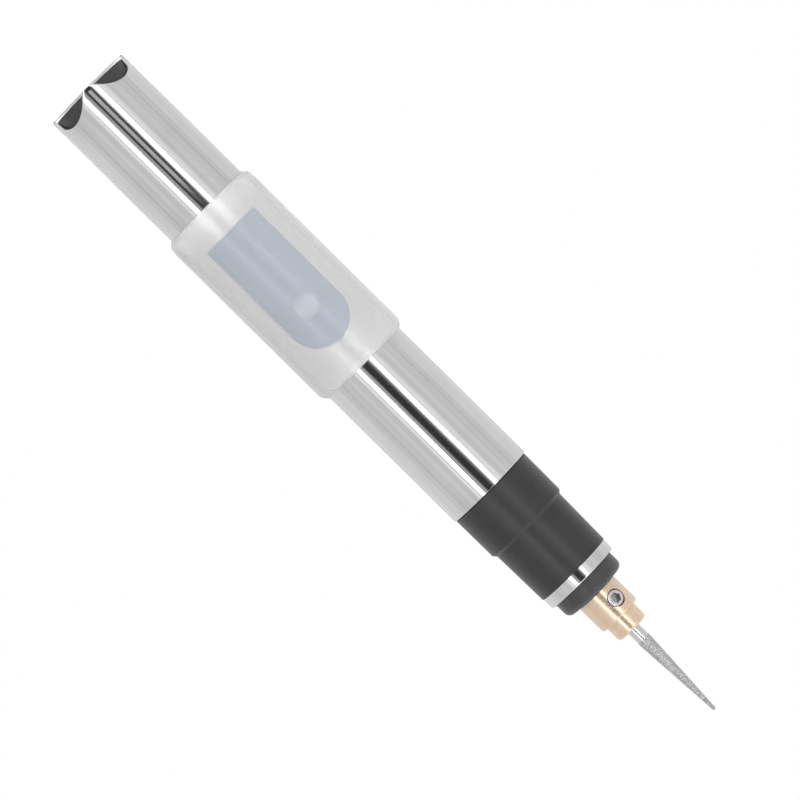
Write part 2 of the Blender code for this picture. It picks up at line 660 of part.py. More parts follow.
# Cell: wound core in a steel can, closed by a gasket and a positive cap, in a shrink wrap
def build_cell():
    axis = Matrix.Translation((0, CELL_SETBACK, 0))
    mouth = CELL_RADIUS * CELL_MOUTH_SHARE
    cap_radius = CELL_RADIUS * CELL_CAP_SHARE
    crown_radius = CELL_RADIUS * CELL_CROWN_SHARE
    floor = CELL_FRONT - GASKET_HEIGHT
    can_bore = CELL_RADIUS - CELL_CAN_WALL
    can_floor = CELL_START + CELL_CAN_WALL
    can = [
        (0, can_floor, 0),
        (can_bore, can_floor, 0),
        (can_bore, floor, 0),
        (mouth, floor, 0),
        (mouth, CELL_FRONT, 0),
        (CELL_RADIUS, CELL_FRONT, CELL_SHOULDER),
        (CELL_RADIUS, CELL_START, CELL_SHOULDER),
        (0, CELL_START, 0),
    ]
    turned("cell_can", can, SMALL_STEPS, PLATED_STEEL, closed=False, matrix=axis)
    core_radius = can_bore - SLIP_FIT * 2
    core = [
        (0, floor - SLIP_FIT, 0),
        (core_radius, floor - SLIP_FIT, 0),
        (core_radius, can_floor + SLIP_FIT, 0),
        (0, can_floor + SLIP_FIT, 0),
    ]
    turned("cell_core", core, SMALL_STEPS, CELL_FOIL, closed=False, matrix=axis)
    gasket = [
        (mouth - SLIP_FIT, CELL_FRONT, 0),
        (mouth - SLIP_FIT, floor + SLIP_FIT, 0),
        (cap_radius + SLIP_FIT, floor + SLIP_FIT, 0),
        (cap_radius + SLIP_FIT, CELL_FRONT, 0),
    ]
    turned("cell_gasket", gasket, SMALL_STEPS, WHITE_PLASTIC, matrix=axis)
    cap = [
        (0, CELL_CAP_FRONT, 0),
        (crown_radius, CELL_CAP_FRONT, CELL_CAN_WALL),
        (crown_radius, CELL_FRONT, 0),
        (cap_radius, CELL_FRONT, 0),
        (cap_radius, floor + SLIP_FIT, 0),
        (0, floor + SLIP_FIT, 0),
    ]
    turned("cell_cap", cap, SMALL_STEPS, PLATED_STEEL, closed=False, matrix=axis)
    inner = CELL_RADIUS + SLIP_FIT
    lip = CELL_RADIUS - WRAP_TURN_IN
    inner_top = CELL_FRONT + SLIP_FIT
    inner_base = CELL_START - SLIP_FIT
    outer_top = inner_top + WRAP_THICKNESS
    outer_base = inner_base - WRAP_THICKNESS
    wrap = [
        (lip, outer_top, 0),
        (WRAP_RADIUS, outer_top, CELL_SHOULDER + WRAP_THICKNESS),
        (WRAP_RADIUS, outer_base, CELL_SHOULDER + WRAP_THICKNESS),
        (lip, outer_base, 0),
        (lip, inner_base, 0),
        (inner, inner_base, CELL_SHOULDER),
        (inner, inner_top, CELL_SHOULDER),
        (lip, inner_top, 0),
    ]
    turned("cell_wrap", wrap, SMALL_STEPS, CELL_WRAP_BLUE, matrix=axis)


# Inner frame: moulded cradle that slides into the barrel, a trough for the cell and rails for the board
def build_frame():
    lean = math.asin(FRAME_FACE / INSERT_RADIUS)
    section = arc((0, 0), INSERT_RADIUS, -lean, math.pi + lean, MEDIUM_STEPS // 2)
    frame = plate("inner_frame", [section], FRAME_START, FRAME_END, WHITE_PLASTIC)
    trough = cylinder(
        "trough_cutter",
        WRAP_RADIUS + SLIP_FIT,
        POCKET_START,
        POCKET_END,
        MEDIUM_STEPS,
        Matrix.Translation((0, CELL_SETBACK, 0)),
    )
    boolean(frame, trough)
    slot = block(
        "slot_cutter",
        (-FRAME_SLOT_WIDTH / 2, -BARREL_RADIUS, FRAME_START - CUT_OVERRUN),
        (FRAME_SLOT_WIDTH / 2, CELL_SETBACK + FRAME_WALL, FRAME_END + CUT_OVERRUN),
        None,
        CUTTERS,
    )
    boolean(frame, slot)


# Switch: board on the frame's rails, housing with a snap dome in its well, cover plate, button
def build_switch():
    block(
        "switch_board",
        (-SWITCH_BOARD_HALF, -BOARD_FACE, SWITCH_BOARD_START),
        (SWITCH_BOARD_HALF, -BOARD_BACK, SWITCH_BOARD_END),
        BOARD_GREEN,
    )
    axis = along_minus_y(0, SWITCH_HEIGHT)
    side = HOUSING_SIDE / 2
    base = BOARD_FACE + SLIP_FIT
    well_floor = base + HOUSING_FLOOR
    housing = block(
        "switch_housing",
        (-side, -side, base),
        (side, side, HOUSING_FACE),
        BLACK_PLASTIC,
        matrix=axis,
        edge=HOUSING_EDGE,
    )
    well_top = HOUSING_FACE + CUT_OVERRUN
    well = cylinder("well_cutter", HOUSING_WELL_DIAMETER / 2, well_floor, well_top, SMALL_STEPS, axis)
    boolean(housing, well)
    flange_radius = HOUSING_WELL_DIAMETER / 2 - BUTTON_FLANGE_CLEARANCE
    stem_radius = flange_radius - BUTTON_FLANGE_WIDTH
    cover_side = side - HOUSING_EDGE
    outline = [
        (-cover_side, -cover_side),
        (cover_side, -cover_side),
        (cover_side, cover_side),
        (-cover_side, cover_side),
    ]
    hole = arc((0, 0), stem_radius + SLIP_FIT, 0, math.tau, SMALL_STEPS)[:-1]
    plate("switch_plate", [outline, hole], HOUSING_FACE + SLIP_FIT, PLATE_FACE, PLATED_STEEL, matrix=axis)
    dome_radius = HOUSING_WELL_DIAMETER / 2 - SLIP_FIT * 4
    foot = well_floor + SLIP_FIT
    flange_back = HOUSING_FACE - BUTTON_FLANGE_THICKNESS
    rise = flange_back - BUTTON_TRAVEL - DOME_CLEARANCE - DOME_THICKNESS - foot
    crown = []
    hollow = []
    for step in range(DOME_STEPS + 1):
        share = step / DOME_STEPS
        crown.append((dome_radius * share, foot + DOME_THICKNESS + rise * (1 - share**2), 0))
        hollow.append((dome_radius * (1 - share), foot + rise * (1 - (1 - share) ** 2), 0))
    turned("switch_dome", crown + hollow, TINY_STEPS, SPRING_STEEL, closed=False, matrix=axis)
    head_base = PLATE_FACE + BUTTON_TRAVEL + SLIP_FIT
    button = [
        (0, PANEL_RADIUS, 0),
        (stem_radius, PANEL_RADIUS - BUTTON_DOME_RISE / 2, 0),
        (BUTTON_HEAD_DIAMETER / 2, PANEL_RADIUS - BUTTON_DOME_RISE, 0),
        (BUTTON_HEAD_DIAMETER / 2, head_base, 0),
        (stem_radius, head_base, 0),
        (stem_radius, HOUSING_FACE, 0),
        (flange_radius, HOUSING_FACE, 0),
        (flange_radius, flange_back, 0),
        (0, flange_back, 0),
    ]
    item = turned("switch_button", button, SMALL_STEPS, WHITE_PLASTIC, closed=False, matrix=axis)
    carry("switch_axis", axis, [item])


# Window panel: moulded insert, flush with the barrel, its skirt on the switch board
def build_panel():
    axis = along_minus_y(0, 0)
    outer = BARREL_RADIUS + CUT_OVERRUN
    foot = BOARD_FACE + SEAT_GAP
    panel = plate("window_panel", [window_outline(PANEL_FIT)], foot, outer, BLUE_GREY_PLASTIC, matrix=axis)
    low = WINDOW_START - CUT_OVERRUN
    high = WINDOW_END + CUT_OVERRUN
    boolean(panel, cylinder("panel_face", PANEL_RADIUS, low, high, LARGE_STEPS), "INTERSECT")
    pocket_half = WINDOW_WIDTH / 2 - PANEL_FIT - PANEL_WALL
    ceiling = math.sqrt(PANEL_RADIUS**2 - pocket_half**2) - PANEL_WALL
    pocket = plate(
        "pocket_cutter",
        [window_outline(PANEL_FIT + PANEL_WALL)],
        foot - CUT_OVERRUN,
        ceiling,
        None,
        CUTTERS,
        axis,
    )
    boolean(panel, pocket)
    side = HOUSING_SIDE / 2 + PANEL_FIT * 2
    switch_axis = along_minus_y(0, SWITCH_HEIGHT)
    well = block(
        "switch_pocket_cutter",
        (-side, -side, foot),
        (side, side, PLATE_FACE + SLIP_FIT * 2),
        None,
        CUTTERS,
        switch_axis,
    )
    boolean(panel, well)
    hole_radius = BUTTON_HEAD_DIAMETER / 2 + PANEL_FIT
    boolean(panel, cylinder("button_hole_cutter", hole_radius, foot, outer, SMALL_STEPS, switch_axis))


# Nose: turned bush, polished tube and the black grip shrunk over both
def build_nose():
    tube = [
        (NOSE_TUBE_RADIUS, NOSE_TUBE_FRONT, NOSE_TUBE_ROUNDING),
        (NOSE_TUBE_RADIUS, NOSE_TUBE_START, 0),
        (NOSE_TUBE_BORE_RADIUS, NOSE_TUBE_START, 0),
        (NOSE_TUBE_BORE_RADIUS, NOSE_TUBE_FRONT, 0),
    ]
    turned("nose_tube", tube, LARGE_STEPS, POLISHED_STEEL)
    bore_radius = NOSE_TUBE_RADIUS + SLIP_FIT
    shoulder = NOSE_TUBE_START - SEAT_GAP
    bush = [
        (INSERT_RADIUS, BUSH_FRONT, BUSH_CHAMFER),
        (INSERT_RADIUS, BUSH_START, BUSH_CHAMFER),
        (NOSE_TUBE_BORE_RADIUS, BUSH_START, 0),
        (NOSE_TUBE_BORE_RADIUS, shoulder, 0),
        (bore_radius, shoulder, 0),
        (bore_radius, BUSH_FRONT, 0),
    ]
    turned("nose_adapter", bush, MEDIUM_STEPS, PLATED_STEEL)
    inner_step = BUSH_FRONT + SLIP_FIT
    inner_radius = INSERT_RADIUS + SLIP_FIT
    rear_radius = inner_radius + GRIP_WALL
    nose_radius = bore_radius + GRIP_WALL
    grip = [
        (nose_radius - GRIP_NOSE_TAPER, GRIP_FRONT, GRIP_ROUNDING / 2),
        (nose_radius, GRIP_STEP + GRIP_STEP_LENGTH / 2, GRIP_ROUNDING),
        (rear_radius - GRIP_REAR_TAPER, GRIP_STEP - GRIP_STEP_LENGTH / 2, GRIP_ROUNDING),
        (rear_radius, GRIP_START, GRIP_ROUNDING / 2),
        (inner_radius, GRIP_START, 0),
        (inner_radius, inner_step, 0),
        (bore_radius, inner_step, 0),
        (bore_radius, GRIP_FRONT, 0),
    ]
    turned("grip_sleeve", grip, LARGE_STEPS, BLACK_RUBBER)


# Nose cap: soft ring pushed into the nose tube in front of the motor
def build_nose_cap():
    start = MOTOR_FRONT + SEAT_GAP
    radius = NOSE_TUBE_BORE_RADIUS - CAP_CLEARANCE
    bore = CHUCK_HUB_DIAMETER / 2 + CAP_HUB_CLEARANCE
    corners = [
        (radius - CAP_CHAMFER_WIDTH, CAP_FRONT, CAP_ROUNDING),
        (radius, CAP_FRONT - CAP_CHAMFER_LENGTH, CAP_ROUNDING),
        (radius, start, 0),
        (bore, start, 0),
        (bore, CAP_FRONT, 0),
    ]
    turned("nose_cap", corners, MEDIUM_STEPS, BLACK_RUBBER)


def sector(inner, outer, half_angle, steps):
    """A flat arc-shaped outline, its middle on +X."""
    outside = arc((0, 0), outer, -half_angle, half_angle, steps)
    inside = arc((0, 0), inner, half_angle, -half_angle, steps)
    return outside + inside


# Motor: drawn can with two arc magnets, closed at the tail end by a cap with brushes and terminals
def build_motor():
    boss_radius = MOTOR_BOSS_DIAMETER / 2
    seat_radius = BUSHING_RADIUS + SLIP_FIT
    can = [
        (boss_radius, BOSS_FRONT, 0),
        (boss_radius, MOTOR_FRONT, 0),
        (MOTOR_RADIUS, MOTOR_FRONT, MOTOR_CAN_ROUNDING),
        (MOTOR_RADIUS, MOTOR_CAN_START, 0),
        (MOTOR_CAN_BORE, MOTOR_CAN_START, 0),
        (MOTOR_CAN_BORE, MOTOR_FRONT - MOTOR_CAN_WALL, 0),
        (seat_radius, MOTOR_FRONT - MOTOR_CAN_WALL, 0),
        (seat_radius, BOSS_FRONT, 0),
    ]
    turned("motor_can", can, MEDIUM_STEPS, PLATED_STEEL)
    outline = sector(MAGNET_INNER_RADIUS, MAGNET_OUTER_RADIUS, MAGNET_ANGLE / 2, TINY_STEPS // 2)
    magnet_start = MOTOR_START + END_CAP_FLANGE + END_CAP_SPIGOT + SEAT_GAP
    rotor_centre = ROTOR_START + ROTOR_LENGTH / 2
    magnet_end = rotor_centre * 2 - magnet_start
    for name, turn in (("motor_magnet_right", 0.0), ("motor_magnet_left", math.pi)):
        spin = Matrix.Rotation(turn, 4, "Z")
        plate(name, [outline], magnet_start, magnet_end, FERRITE, matrix=spin)
    flange_top = MOTOR_START + END_CAP_FLANGE
    floor = MOTOR_START + END_CAP_FLOOR
    end_cap = [
        (SPIGOT_RADIUS, flange_top + END_CAP_SPIGOT, 0),
        (SPIGOT_RADIUS, flange_top, 0),
        (MOTOR_RADIUS, flange_top, 0),
        (MOTOR_RADIUS, MOTOR_START, 0),
        (seat_radius, MOTOR_START, 0),
        (seat_radius, floor, 0),
        (SPIGOT_RADIUS - END_CAP_WALL, floor, 0),
        (SPIGOT_RADIUS - END_CAP_WALL, flange_top + END_CAP_SPIGOT, 0),
    ]
    cap = turned("motor_end_cap", end_cap, SMALL_STEPS, WHITE_PLASTIC)
    bushing_bore = SHAFT_RADIUS + SLIP_FIT
    rear = MOTOR_START + SLIP_FIT
    front = BOSS_FRONT - SLIP_FIT - BUSHING_LENGTH
    for name, low in (("rear_bushing", rear), ("front_bushing", front)):
        ring = [
            (BUSHING_RADIUS, low + BUSHING_LENGTH, 0),
            (BUSHING_RADIUS, low, 0),
            (bushing_bore, low, 0),
            (bushing_bore, low + BUSHING_LENGTH, 0),
        ]
        turned(name, ring, SMALL_STEPS, BRONZE)
    brush_low = BRUSH_CENTRE - BRUSH_HEIGHT / 2
    brush_high = BRUSH_CENTRE + BRUSH_HEIGHT / 2
    terminal_top = brush_low - SLIP_FIT * 2
    terminal_tail = MOTOR_START - TERMINAL_TAIL
    near = TERMINAL_RADIUS - TERMINAL_THICKNESS / 2
    far = TERMINAL_RADIUS + TERMINAL_THICKNESS / 2
    half = TERMINAL_WIDTH / 2
    reach = SPIGOT_RADIUS - END_CAP_WALL - SLIP_FIT * 2
    for side, turn in (("right", 0.0), ("left", math.pi)):
        spin = Matrix.Rotation(turn, 4, "Z")
        block(f"terminal_{side}", (near, -half, terminal_tail), (far, half, terminal_top), BRASS, matrix=spin)
        slot = block(
            f"terminal_slot_{side}",
            (near - SLIP_FIT, -half - SLIP_FIT, MOTOR_START - CUT_OVERRUN),
            (far + SLIP_FIT, half + SLIP_FIT, floor + CUT_OVERRUN),
            None,
            CUTTERS,
            spin,
        )
        boolean(cap, slot)
        block(
            f"brush_{side}",
            (COMMUTATOR_DIAMETER / 2 + SLIP_FIT, -BRUSH_WIDTH / 2, brush_low),
            (reach, BRUSH_WIDTH / 2, brush_high),
            CARBON,
            matrix=spin,
        )


# Rotor: three-pole core with a coil on each pole, commutator and shaft, turning as one
def build_rotor():
    hub = ROTOR_RADIUS * HUB_SHARE
    shoe = ROTOR_RADIUS * SHOE_SHARE
    half = ROTOR_RADIUS * POLE_WIDTH_SHARE / 2
    stem_foot = math.asin(half / hub)
    stem_top = math.asin(half / shoe)
    pitch = math.tau / ROTOR_POLES
    outline = []
    for pole in range(ROTOR_POLES):
        middle = pitch * pole
        tip = SHOE_ANGLE / 2
        outline += arc((0, 0), hub, middle - pitch + stem_foot, middle - stem_foot, STEM_ARC_STEPS)
        outline += arc((0, 0), shoe, middle - stem_top, middle - tip, STEM_ARC_STEPS)
        outline += arc((0, 0), ROTOR_RADIUS, middle - tip, middle + tip, POLE_ARC_STEPS)
        outline += arc((0, 0), shoe, middle + tip, middle + stem_top, STEM_ARC_STEPS)
    bore = SHAFT_RADIUS + SLIP_FIT
    hole = arc((0, 0), bore, 0, math.tau, TINY_STEPS)[:-1]
    end = ROTOR_START + ROTOR_LENGTH
    pieces = [plate("rotor_core", [outline, hole], ROTOR_START, end, PLATED_STEEL)]
    coil_width = ROTOR_RADIUS * COIL_WIDTH_SHARE
    inner_half = half + SLIP_FIT
    outer_half = inner_half + coil_width
    inner_length = ROTOR_LENGTH / 2 + SLIP_FIT * 2
    outer_length = inner_length + coil_width
    coil_outer = [
        (outer_half, outer_length, coil_width),
        (outer_half, -outer_length, coil_width),
        (-outer_half, -outer_length, coil_width),
        (-outer_half, outer_length, coil_width),
    ]
    coil_inner = [
        (inner_half, inner_length, 0),
        (inner_half, -inner_length, 0),
        (-inner_half, -inner_length, 0),
        (-inner_half, inner_length, 0),
    ]
    coil_low, coil_high = (ROTOR_RADIUS * share for share in COIL_SHARES)
    middle_height = ROTOR_START + ROTOR_LENGTH / 2
    for pole in range(ROTOR_POLES):
        spin = Matrix.Rotation(pitch * pole + math.pi / 2, 4, "Z") @ along_minus_y(0, middle_height)
        outlines = [filleted(coil_outer, True), filleted(coil_inner, True)]
        name = f"rotor_coil_{pole + 1}"
        pieces.append(plate(name, outlines, coil_low, coil_high, COPPER, matrix=spin))
    low = BRUSH_CENTRE - COMMUTATOR_LENGTH / 2
    high = BRUSH_CENTRE + COMMUTATOR_LENGTH / 2
    rim = COMMUTATOR_DIAMETER / 2
    ring = [(rim, high, 0), (rim, low, 0), (bore, low, 0), (bore, high, 0)]
    commutator = turned("commutator", ring, SMALL_STEPS, COPPER)
    for pole in range(ROTOR_POLES):
        spin = Matrix.Rotation(pitch * (pole + 0.5), 4, "Z")
        groove = block(
            f"groove_cutter_{pole + 1}",
            (rim - COMMUTATOR_GROOVE_DEPTH, -COMMUTATOR_GROOVE / 2, low - CUT_OVERRUN),
            (rim + CUT_OVERRUN, COMMUTATOR_GROOVE / 2, high + CUT_OVERRUN),
            None,
            CUTTERS,
            spin,
        )
        boolean(commutator, groove)
    pieces.append(commutator)
    shaft = [
        (0, SHAFT_FRONT, 0),
        (SHAFT_RADIUS, SHAFT_FRONT, SHAFT_CHAMFER),
        (SHAFT_RADIUS, SHAFT_REAR, SHAFT_CHAMFER),
        (0, SHAFT_REAR, 0),
    ]
    pieces.append(turned("motor_shaft", shaft, TINY_STEPS, PLATED_STEEL, closed=False))
    return pieces


# Chuck: stepped brass sleeve pressed on the shaft, a screw in its side clamps the burr
def build_chuck():
    burr_bore = BURR_RADIUS + SLIP_FIT
    shaft_bore = SHAFT_RADIUS + SLIP_FIT
    radius = CHUCK_DIAMETER / 2
    step_radius = radius - CHUCK_STEP_HEIGHT
    hub_radius = CHUCK_HUB_DIAMETER / 2
    corners = [
        (step_radius, CHUCK_FRONT, CHUCK_NOSE_ROUNDING),
        (step_radius, CHUCK_STEP, 0),
        (radius, CHUCK_STEP, CHUCK_ROUNDING),
        (radius, CHUCK_REAR, CHUCK_ROUNDING / 2),
        (hub_radius, CHUCK_REAR, 0),
        (hub_radius, CHUCK_HUB_REAR, 0),
        (shaft_bore, CHUCK_HUB_REAR, 0),
        (shaft_bore, SHAFT_BORE_END, 0),
        (burr_bore, SHAFT_BORE_END, 0),
        (burr_bore, CHUCK_FRONT, 0),
    ]
    chuck = turned("chuck", corners, MEDIUM_STEPS, BRASS)
    axis = Matrix.Rotation(-SCREW_TURN, 4, "Z") @ along_minus_y(0, SCREW_HEIGHT)
    hole_radius = SCREW_DIAMETER / 2 + SLIP_FIT
    outside = radius + CUT_OVERRUN
    hole = cylinder("screw_hole_cutter", hole_radius, BURR_RADIUS / 2, outside, SMALL_STEPS, axis)
    boolean(chuck, hole)
    head = radius - SCREW_RECESS
    tip = burr_bore + SLIP_FIT
    screw_radius = SCREW_DIAMETER / 2
    profile = [
        (0, head, 0),
        (screw_radius, head, SCREW_CHAMFER),
        (screw_radius, tip, SCREW_CHAMFER),
        (0, tip, 0),
    ]
    screw = turned("chuck_screw", profile, SMALL_STEPS, PLATED_STEEL, closed=False, matrix=axis)
    corner = SCREW_SOCKET_WIDTH / math.sqrt(3)
    hexagon = arc((0, 0), corner, 0, math.tau, 6)[:-1]
    socket = plate(
        "socket_cutter",
        [hexagon],
        head - SCREW_SOCKET_DEPTH,
        head + CUT_OVERRUN,
        None,
        CUTTERS,
        axis,
    )
    boolean(screw, socket)
    return chuck, screw, axis


# Burr: straight shank with a tapered core, the diamond layer plated over the core
def build_burr():
    straight_end = BURR_SHOULDER + BURR_STRAIGHT_LENGTH
    tip_radius = BURR_TIP_DIAMETER / 2
    head_radius = BURR_HEAD_DIAMETER / 2
    coat_inner = head_radius - DIAMOND_THICKNESS
    coat_inner_tip = tip_radius - DIAMOND_THICKNESS
    coat_end = BURR_TIP - BURR_TIP_DIAMETER
    core_radius = coat_inner - SLIP_FIT
    core_tip = coat_inner_tip - SLIP_FIT
    blank = [
        (0, coat_end - SLIP_FIT * 2, 0),
        (core_tip, coat_end - SLIP_FIT * 2, 0),
        (core_radius, straight_end, 0),
        (core_radius, BURR_SHOULDER - SLIP_FIT, 0),
        (BURR_RADIUS, BURR_SHOULDER - SLIP_FIT, 0),
        (BURR_RADIUS, BURR_REAR, BURR_SHANK_CHAMFER),
        (0, BURR_REAR, 0),
    ]
    coat = [
        (0, BURR_TIP, 0),
        (tip_radius, BURR_TIP, tip_radius * BURR_TIP_FILLET_SHARE),
        (head_radius, straight_end, 0),
        (head_radius, BURR_SHOULDER, 0),
        (coat_inner, BURR_SHOULDER, 0),
        (coat_inner, straight_end, 0),
        (coat_inner_tip, coat_end, 0),
        (0, coat_end, 0),
    ]
    return [
        turned("burr_blank", blank, TINY_STEPS, PLATED_STEEL, closed=False),
        turned("burr_diamond", coat, SMALL_STEPS, DIAMOND_GRIT, closed=False),
    ]


# Wires: cell to charging board, charging board to switch board, switch board to motor
def build_wires():
    lane = WIRE_CLEARANCE + WIRE_DIAMETER / 2
    over_board = -(BOARD_FACE + lane)
    pad_face = -CHARGE_BOARD_FRONT - WIRE_CLEARANCE
    front_pads = CHARGE_BOARD_END - WIRE_DIAMETER
    rear_pads = front_pads - WIRE_BEND
    for name, pad, material in (
        ("wire_board_positive", WIRE_PITCH * 2, RED_INSULATION),
        ("wire_board_negative", WIRE_PITCH, BLACK_INSULATION),
    ):
        stops = [
            (pad, pad_face, front_pads),
            (pad, pad_face - WIRE_BEND, front_pads),
            (pad, over_board + WIRE_DIAMETER, front_pads + WIRE_DIAMETER),
            (pad, over_board, front_pads + WIRE_BEND + WIRE_DIAMETER),
            (pad, over_board, SWITCH_BOARD_START + WIRE_BEND / 2),
        ]
        wire(name, stops, material)
    turn = FRAME_END + lane
    pad = WIRE_PITCH * 3
    stops = [
        (0, CELL_SETBACK, CELL_CAP_FRONT + WIRE_CLEARANCE),
        (0, CELL_SETBACK, turn),
        (LANE_SIDE * 3 / 4, -LANE_DEPTH * 3 / 4, turn + WIRE_BEND),
        (LANE_SIDE, -LANE_DEPTH, turn),
        (LANE_SIDE, -LANE_DEPTH, turn - WIRE_BEND),
        (LANE_SIDE, -LANE_DEPTH, FRAME_START),
        (pad, -LANE_DEPTH / 2, front_pads),
        (pad, pad_face - WIRE_BEND / 2, rear_pads),
        (pad, pad_face, rear_pads),
    ]
    wire("wire_cell_positive", stops, RED_INSULATION)
    stops = [
        (0, CELL_SETBACK, CELL_START - WIRE_CLEARANCE * 2 - WRAP_THICKNESS),
        (0, CELL_SETBACK, FRAME_START),
        (-pad / 3, CELL_SETBACK - WIRE_BEND / 2, CHARGE_BOARD_END + WIRE_DIAMETER / 2),
        (-pad * 2 / 3, pad_face - WIRE_BEND / 2, front_pads),
        (-pad * 2 / 3, pad_face - WIRE_DIAMETER, rear_pads),
        (-pad * 2 / 3, pad_face, rear_pads),
    ]
    wire("wire_cell_negative", stops, BLACK_INSULATION)
    front = SWITCH_BOARD_END - WIRE_BEND / 2
    terminal = MOTOR_START - TERMINAL_TAIL - WIRE_CLEARANCE
    leave = turn + WIRE_BEND
    third = (terminal - WIRE_BEND - leave) / 3
    for name, side, material in (
        ("wire_motor_positive", 1, RED_INSULATION),
        ("wire_motor_negative", -1, BLACK_INSULATION),
    ):
        stops = [
            (WIRE_PITCH * side, over_board, front),
            (WIRE_PITCH * side, over_board, leave),
            (WIRE_PITCH * 2 * side, over_board * 3 / 4, leave + third),
            (TERMINAL_RADIUS * side, over_board / 4, leave + third * 2),
            (TERMINAL_RADIUS * side, 0, terminal - WIRE_BEND),
            (TERMINAL_RADIUS * side, 0, terminal),
        ]
        wire(name, stops, material)


def carry(name, matrix, pieces):
    """An empty on a joint's axis, with the pieces that move about it as its children."""
    holder = bpy.data.objects.new(name, None)
    holder.matrix_world = matrix
    PEN.objects.link(holder)
    for piece in pieces:
        piece.parent = holder
        piece.matrix_parent_inverse = matrix.inverted()


build_barrel()
build_sleeve()
build_plug()
build_socket()
build_charge_board()
build_cell()
build_frame()
build_switch()
build_panel()
build_nose()
build_nose_cap()
build_motor()
rotor = build_rotor()
chuck_piece, screw_piece, screw_axis = build_chuck()
carry("spindle_axis", Matrix.Identity(4), rotor + [chuck_piece])
carry("clamp_screw_axis", screw_axis, [screw_piece])
carry("burr_axis", Matrix.Identity(4), build_burr())
build_wires()
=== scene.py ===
"""Looks of a cordless engraving pen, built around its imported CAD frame.

The pen stands on its tail rim with its axis on +Z and its switch to -Y. Units are metres, and sizes
are written in millimetres times MM. Sections follow the pen from its tail to its point.
"""

import math
import random

import bmesh
import bpy
from mathutils import Matrix, Vector


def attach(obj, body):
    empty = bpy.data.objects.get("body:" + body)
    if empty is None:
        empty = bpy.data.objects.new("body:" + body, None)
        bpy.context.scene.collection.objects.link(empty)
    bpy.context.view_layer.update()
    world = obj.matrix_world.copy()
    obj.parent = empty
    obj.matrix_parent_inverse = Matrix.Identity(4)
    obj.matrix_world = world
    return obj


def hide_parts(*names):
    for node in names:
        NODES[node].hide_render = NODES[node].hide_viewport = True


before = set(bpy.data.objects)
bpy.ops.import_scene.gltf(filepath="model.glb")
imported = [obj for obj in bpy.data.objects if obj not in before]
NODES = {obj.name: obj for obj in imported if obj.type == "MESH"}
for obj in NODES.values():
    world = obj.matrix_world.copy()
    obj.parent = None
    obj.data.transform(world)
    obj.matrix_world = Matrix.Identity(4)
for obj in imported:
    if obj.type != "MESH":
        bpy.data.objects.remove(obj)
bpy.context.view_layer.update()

MM = 0.001

# Barrel: a drawn steel tube, polished along its length, its tail rim cut in four scallops and a
# window milled through the switch side. The part under the silicone sleeve is left satin.
BARREL_RADIUS = 8.0 * MM
BARREL_BORE = 7.5 * MM
BARREL_LENGTH = 92.35 * MM
RIM_ROUNDING = 0.09 * MM
SCALLOP_EDGE_HEIGHT = 0.07 * MM
SCALLOP_EDGE_DEPTH = 0.06 * MM
LAND_EDGE_HEIGHT = 0.55 * MM
LAND_EDGE_DEPTH = 0.22 * MM
ROUNDING_STEPS = 5
EDGE_GUARD = 0.3 * MM
SCALLOPS = 4
SCALLOP_DEPTH = 3.02 * MM
SCALLOP_LAND = 2.4 * MM
LAND_CORNER = 1.0 * MM
RIM_COLUMNS = 240
WINDOW_START = 32.75 * MM
WINDOW_END = 57.9 * MM
WINDOW_WIDTH = 10.7 * MM
WINDOW_CORNER = 0.4 * MM
WINDOW_ARC_STEPS = 32
WINDOW_CORNER_STEPS = 4
WINDOW_CUT_FOOT = 2.0 * MM
CUT_PAST = 1.0 * MM
MERGE_DISTANCE = 0.0001 * MM
SLEEVE_START = 27.27 * MM
SLEEVE_FRONT = 63.52 * MM
SATIN_INSET = 0.1 * MM
SATIN_ROUGHNESS = 0.32
SATIN_TONE = (0.97, 0.97, 0.97, 1.0)
MARK_DETAIL = 4.0
BLOTCH_DETAIL = 2.0
SMOOTH_BELOW = math.radians(32.0)
SWITCH_SIDE = Matrix.Rotation(math.radians(90.0), 4, "X")


def show(name, mesh, material, body, slot, *nodes):
    """A piece with its finish, riding its body and standing for its CAD nodes."""
    piece = bpy.data.objects.new(name, mesh)
    bpy.context.scene.collection.objects.link(piece)
    mesh.materials.append(material)
    mesh.shade_smooth()
    mesh.set_sharp_from_angle(angle=SMOOTH_BELOW)
    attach(piece, body)
    if nodes:
        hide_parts(*nodes)
    return piece


def loft(name, columns, closed=True):
    """A skin over like columns of points that stand side by side round the axis."""
    mesh = bpy.data.meshes.new(name)
    rows = len(columns[0])
    points = [point for column in columns for point in column]
    faces = []
    for column in range(len(columns)):
        here = column * rows
        beside = (column + 1) % len(columns) * rows
        for row in range(rows if closed else rows - 1):
            above = (row + 1) % rows
            faces.append((here + row, here + above, beside + above, beside + row))
    mesh.from_pydata(points, [], faces)
    shape = bmesh.new()
    shape.from_mesh(mesh)
    bmesh.ops.remove_doubles(shape, verts=shape.verts, dist=MERGE_DISTANCE)
    bmesh.ops.recalc_face_normals(shape, faces=shape.faces)
    shape.to_mesh(mesh)
    shape.free()
    return mesh


def on_circle(radius, angle, height):
    """A point round the pen's axis."""
    return (radius * math.cos(angle), radius * math.sin(angle), height)


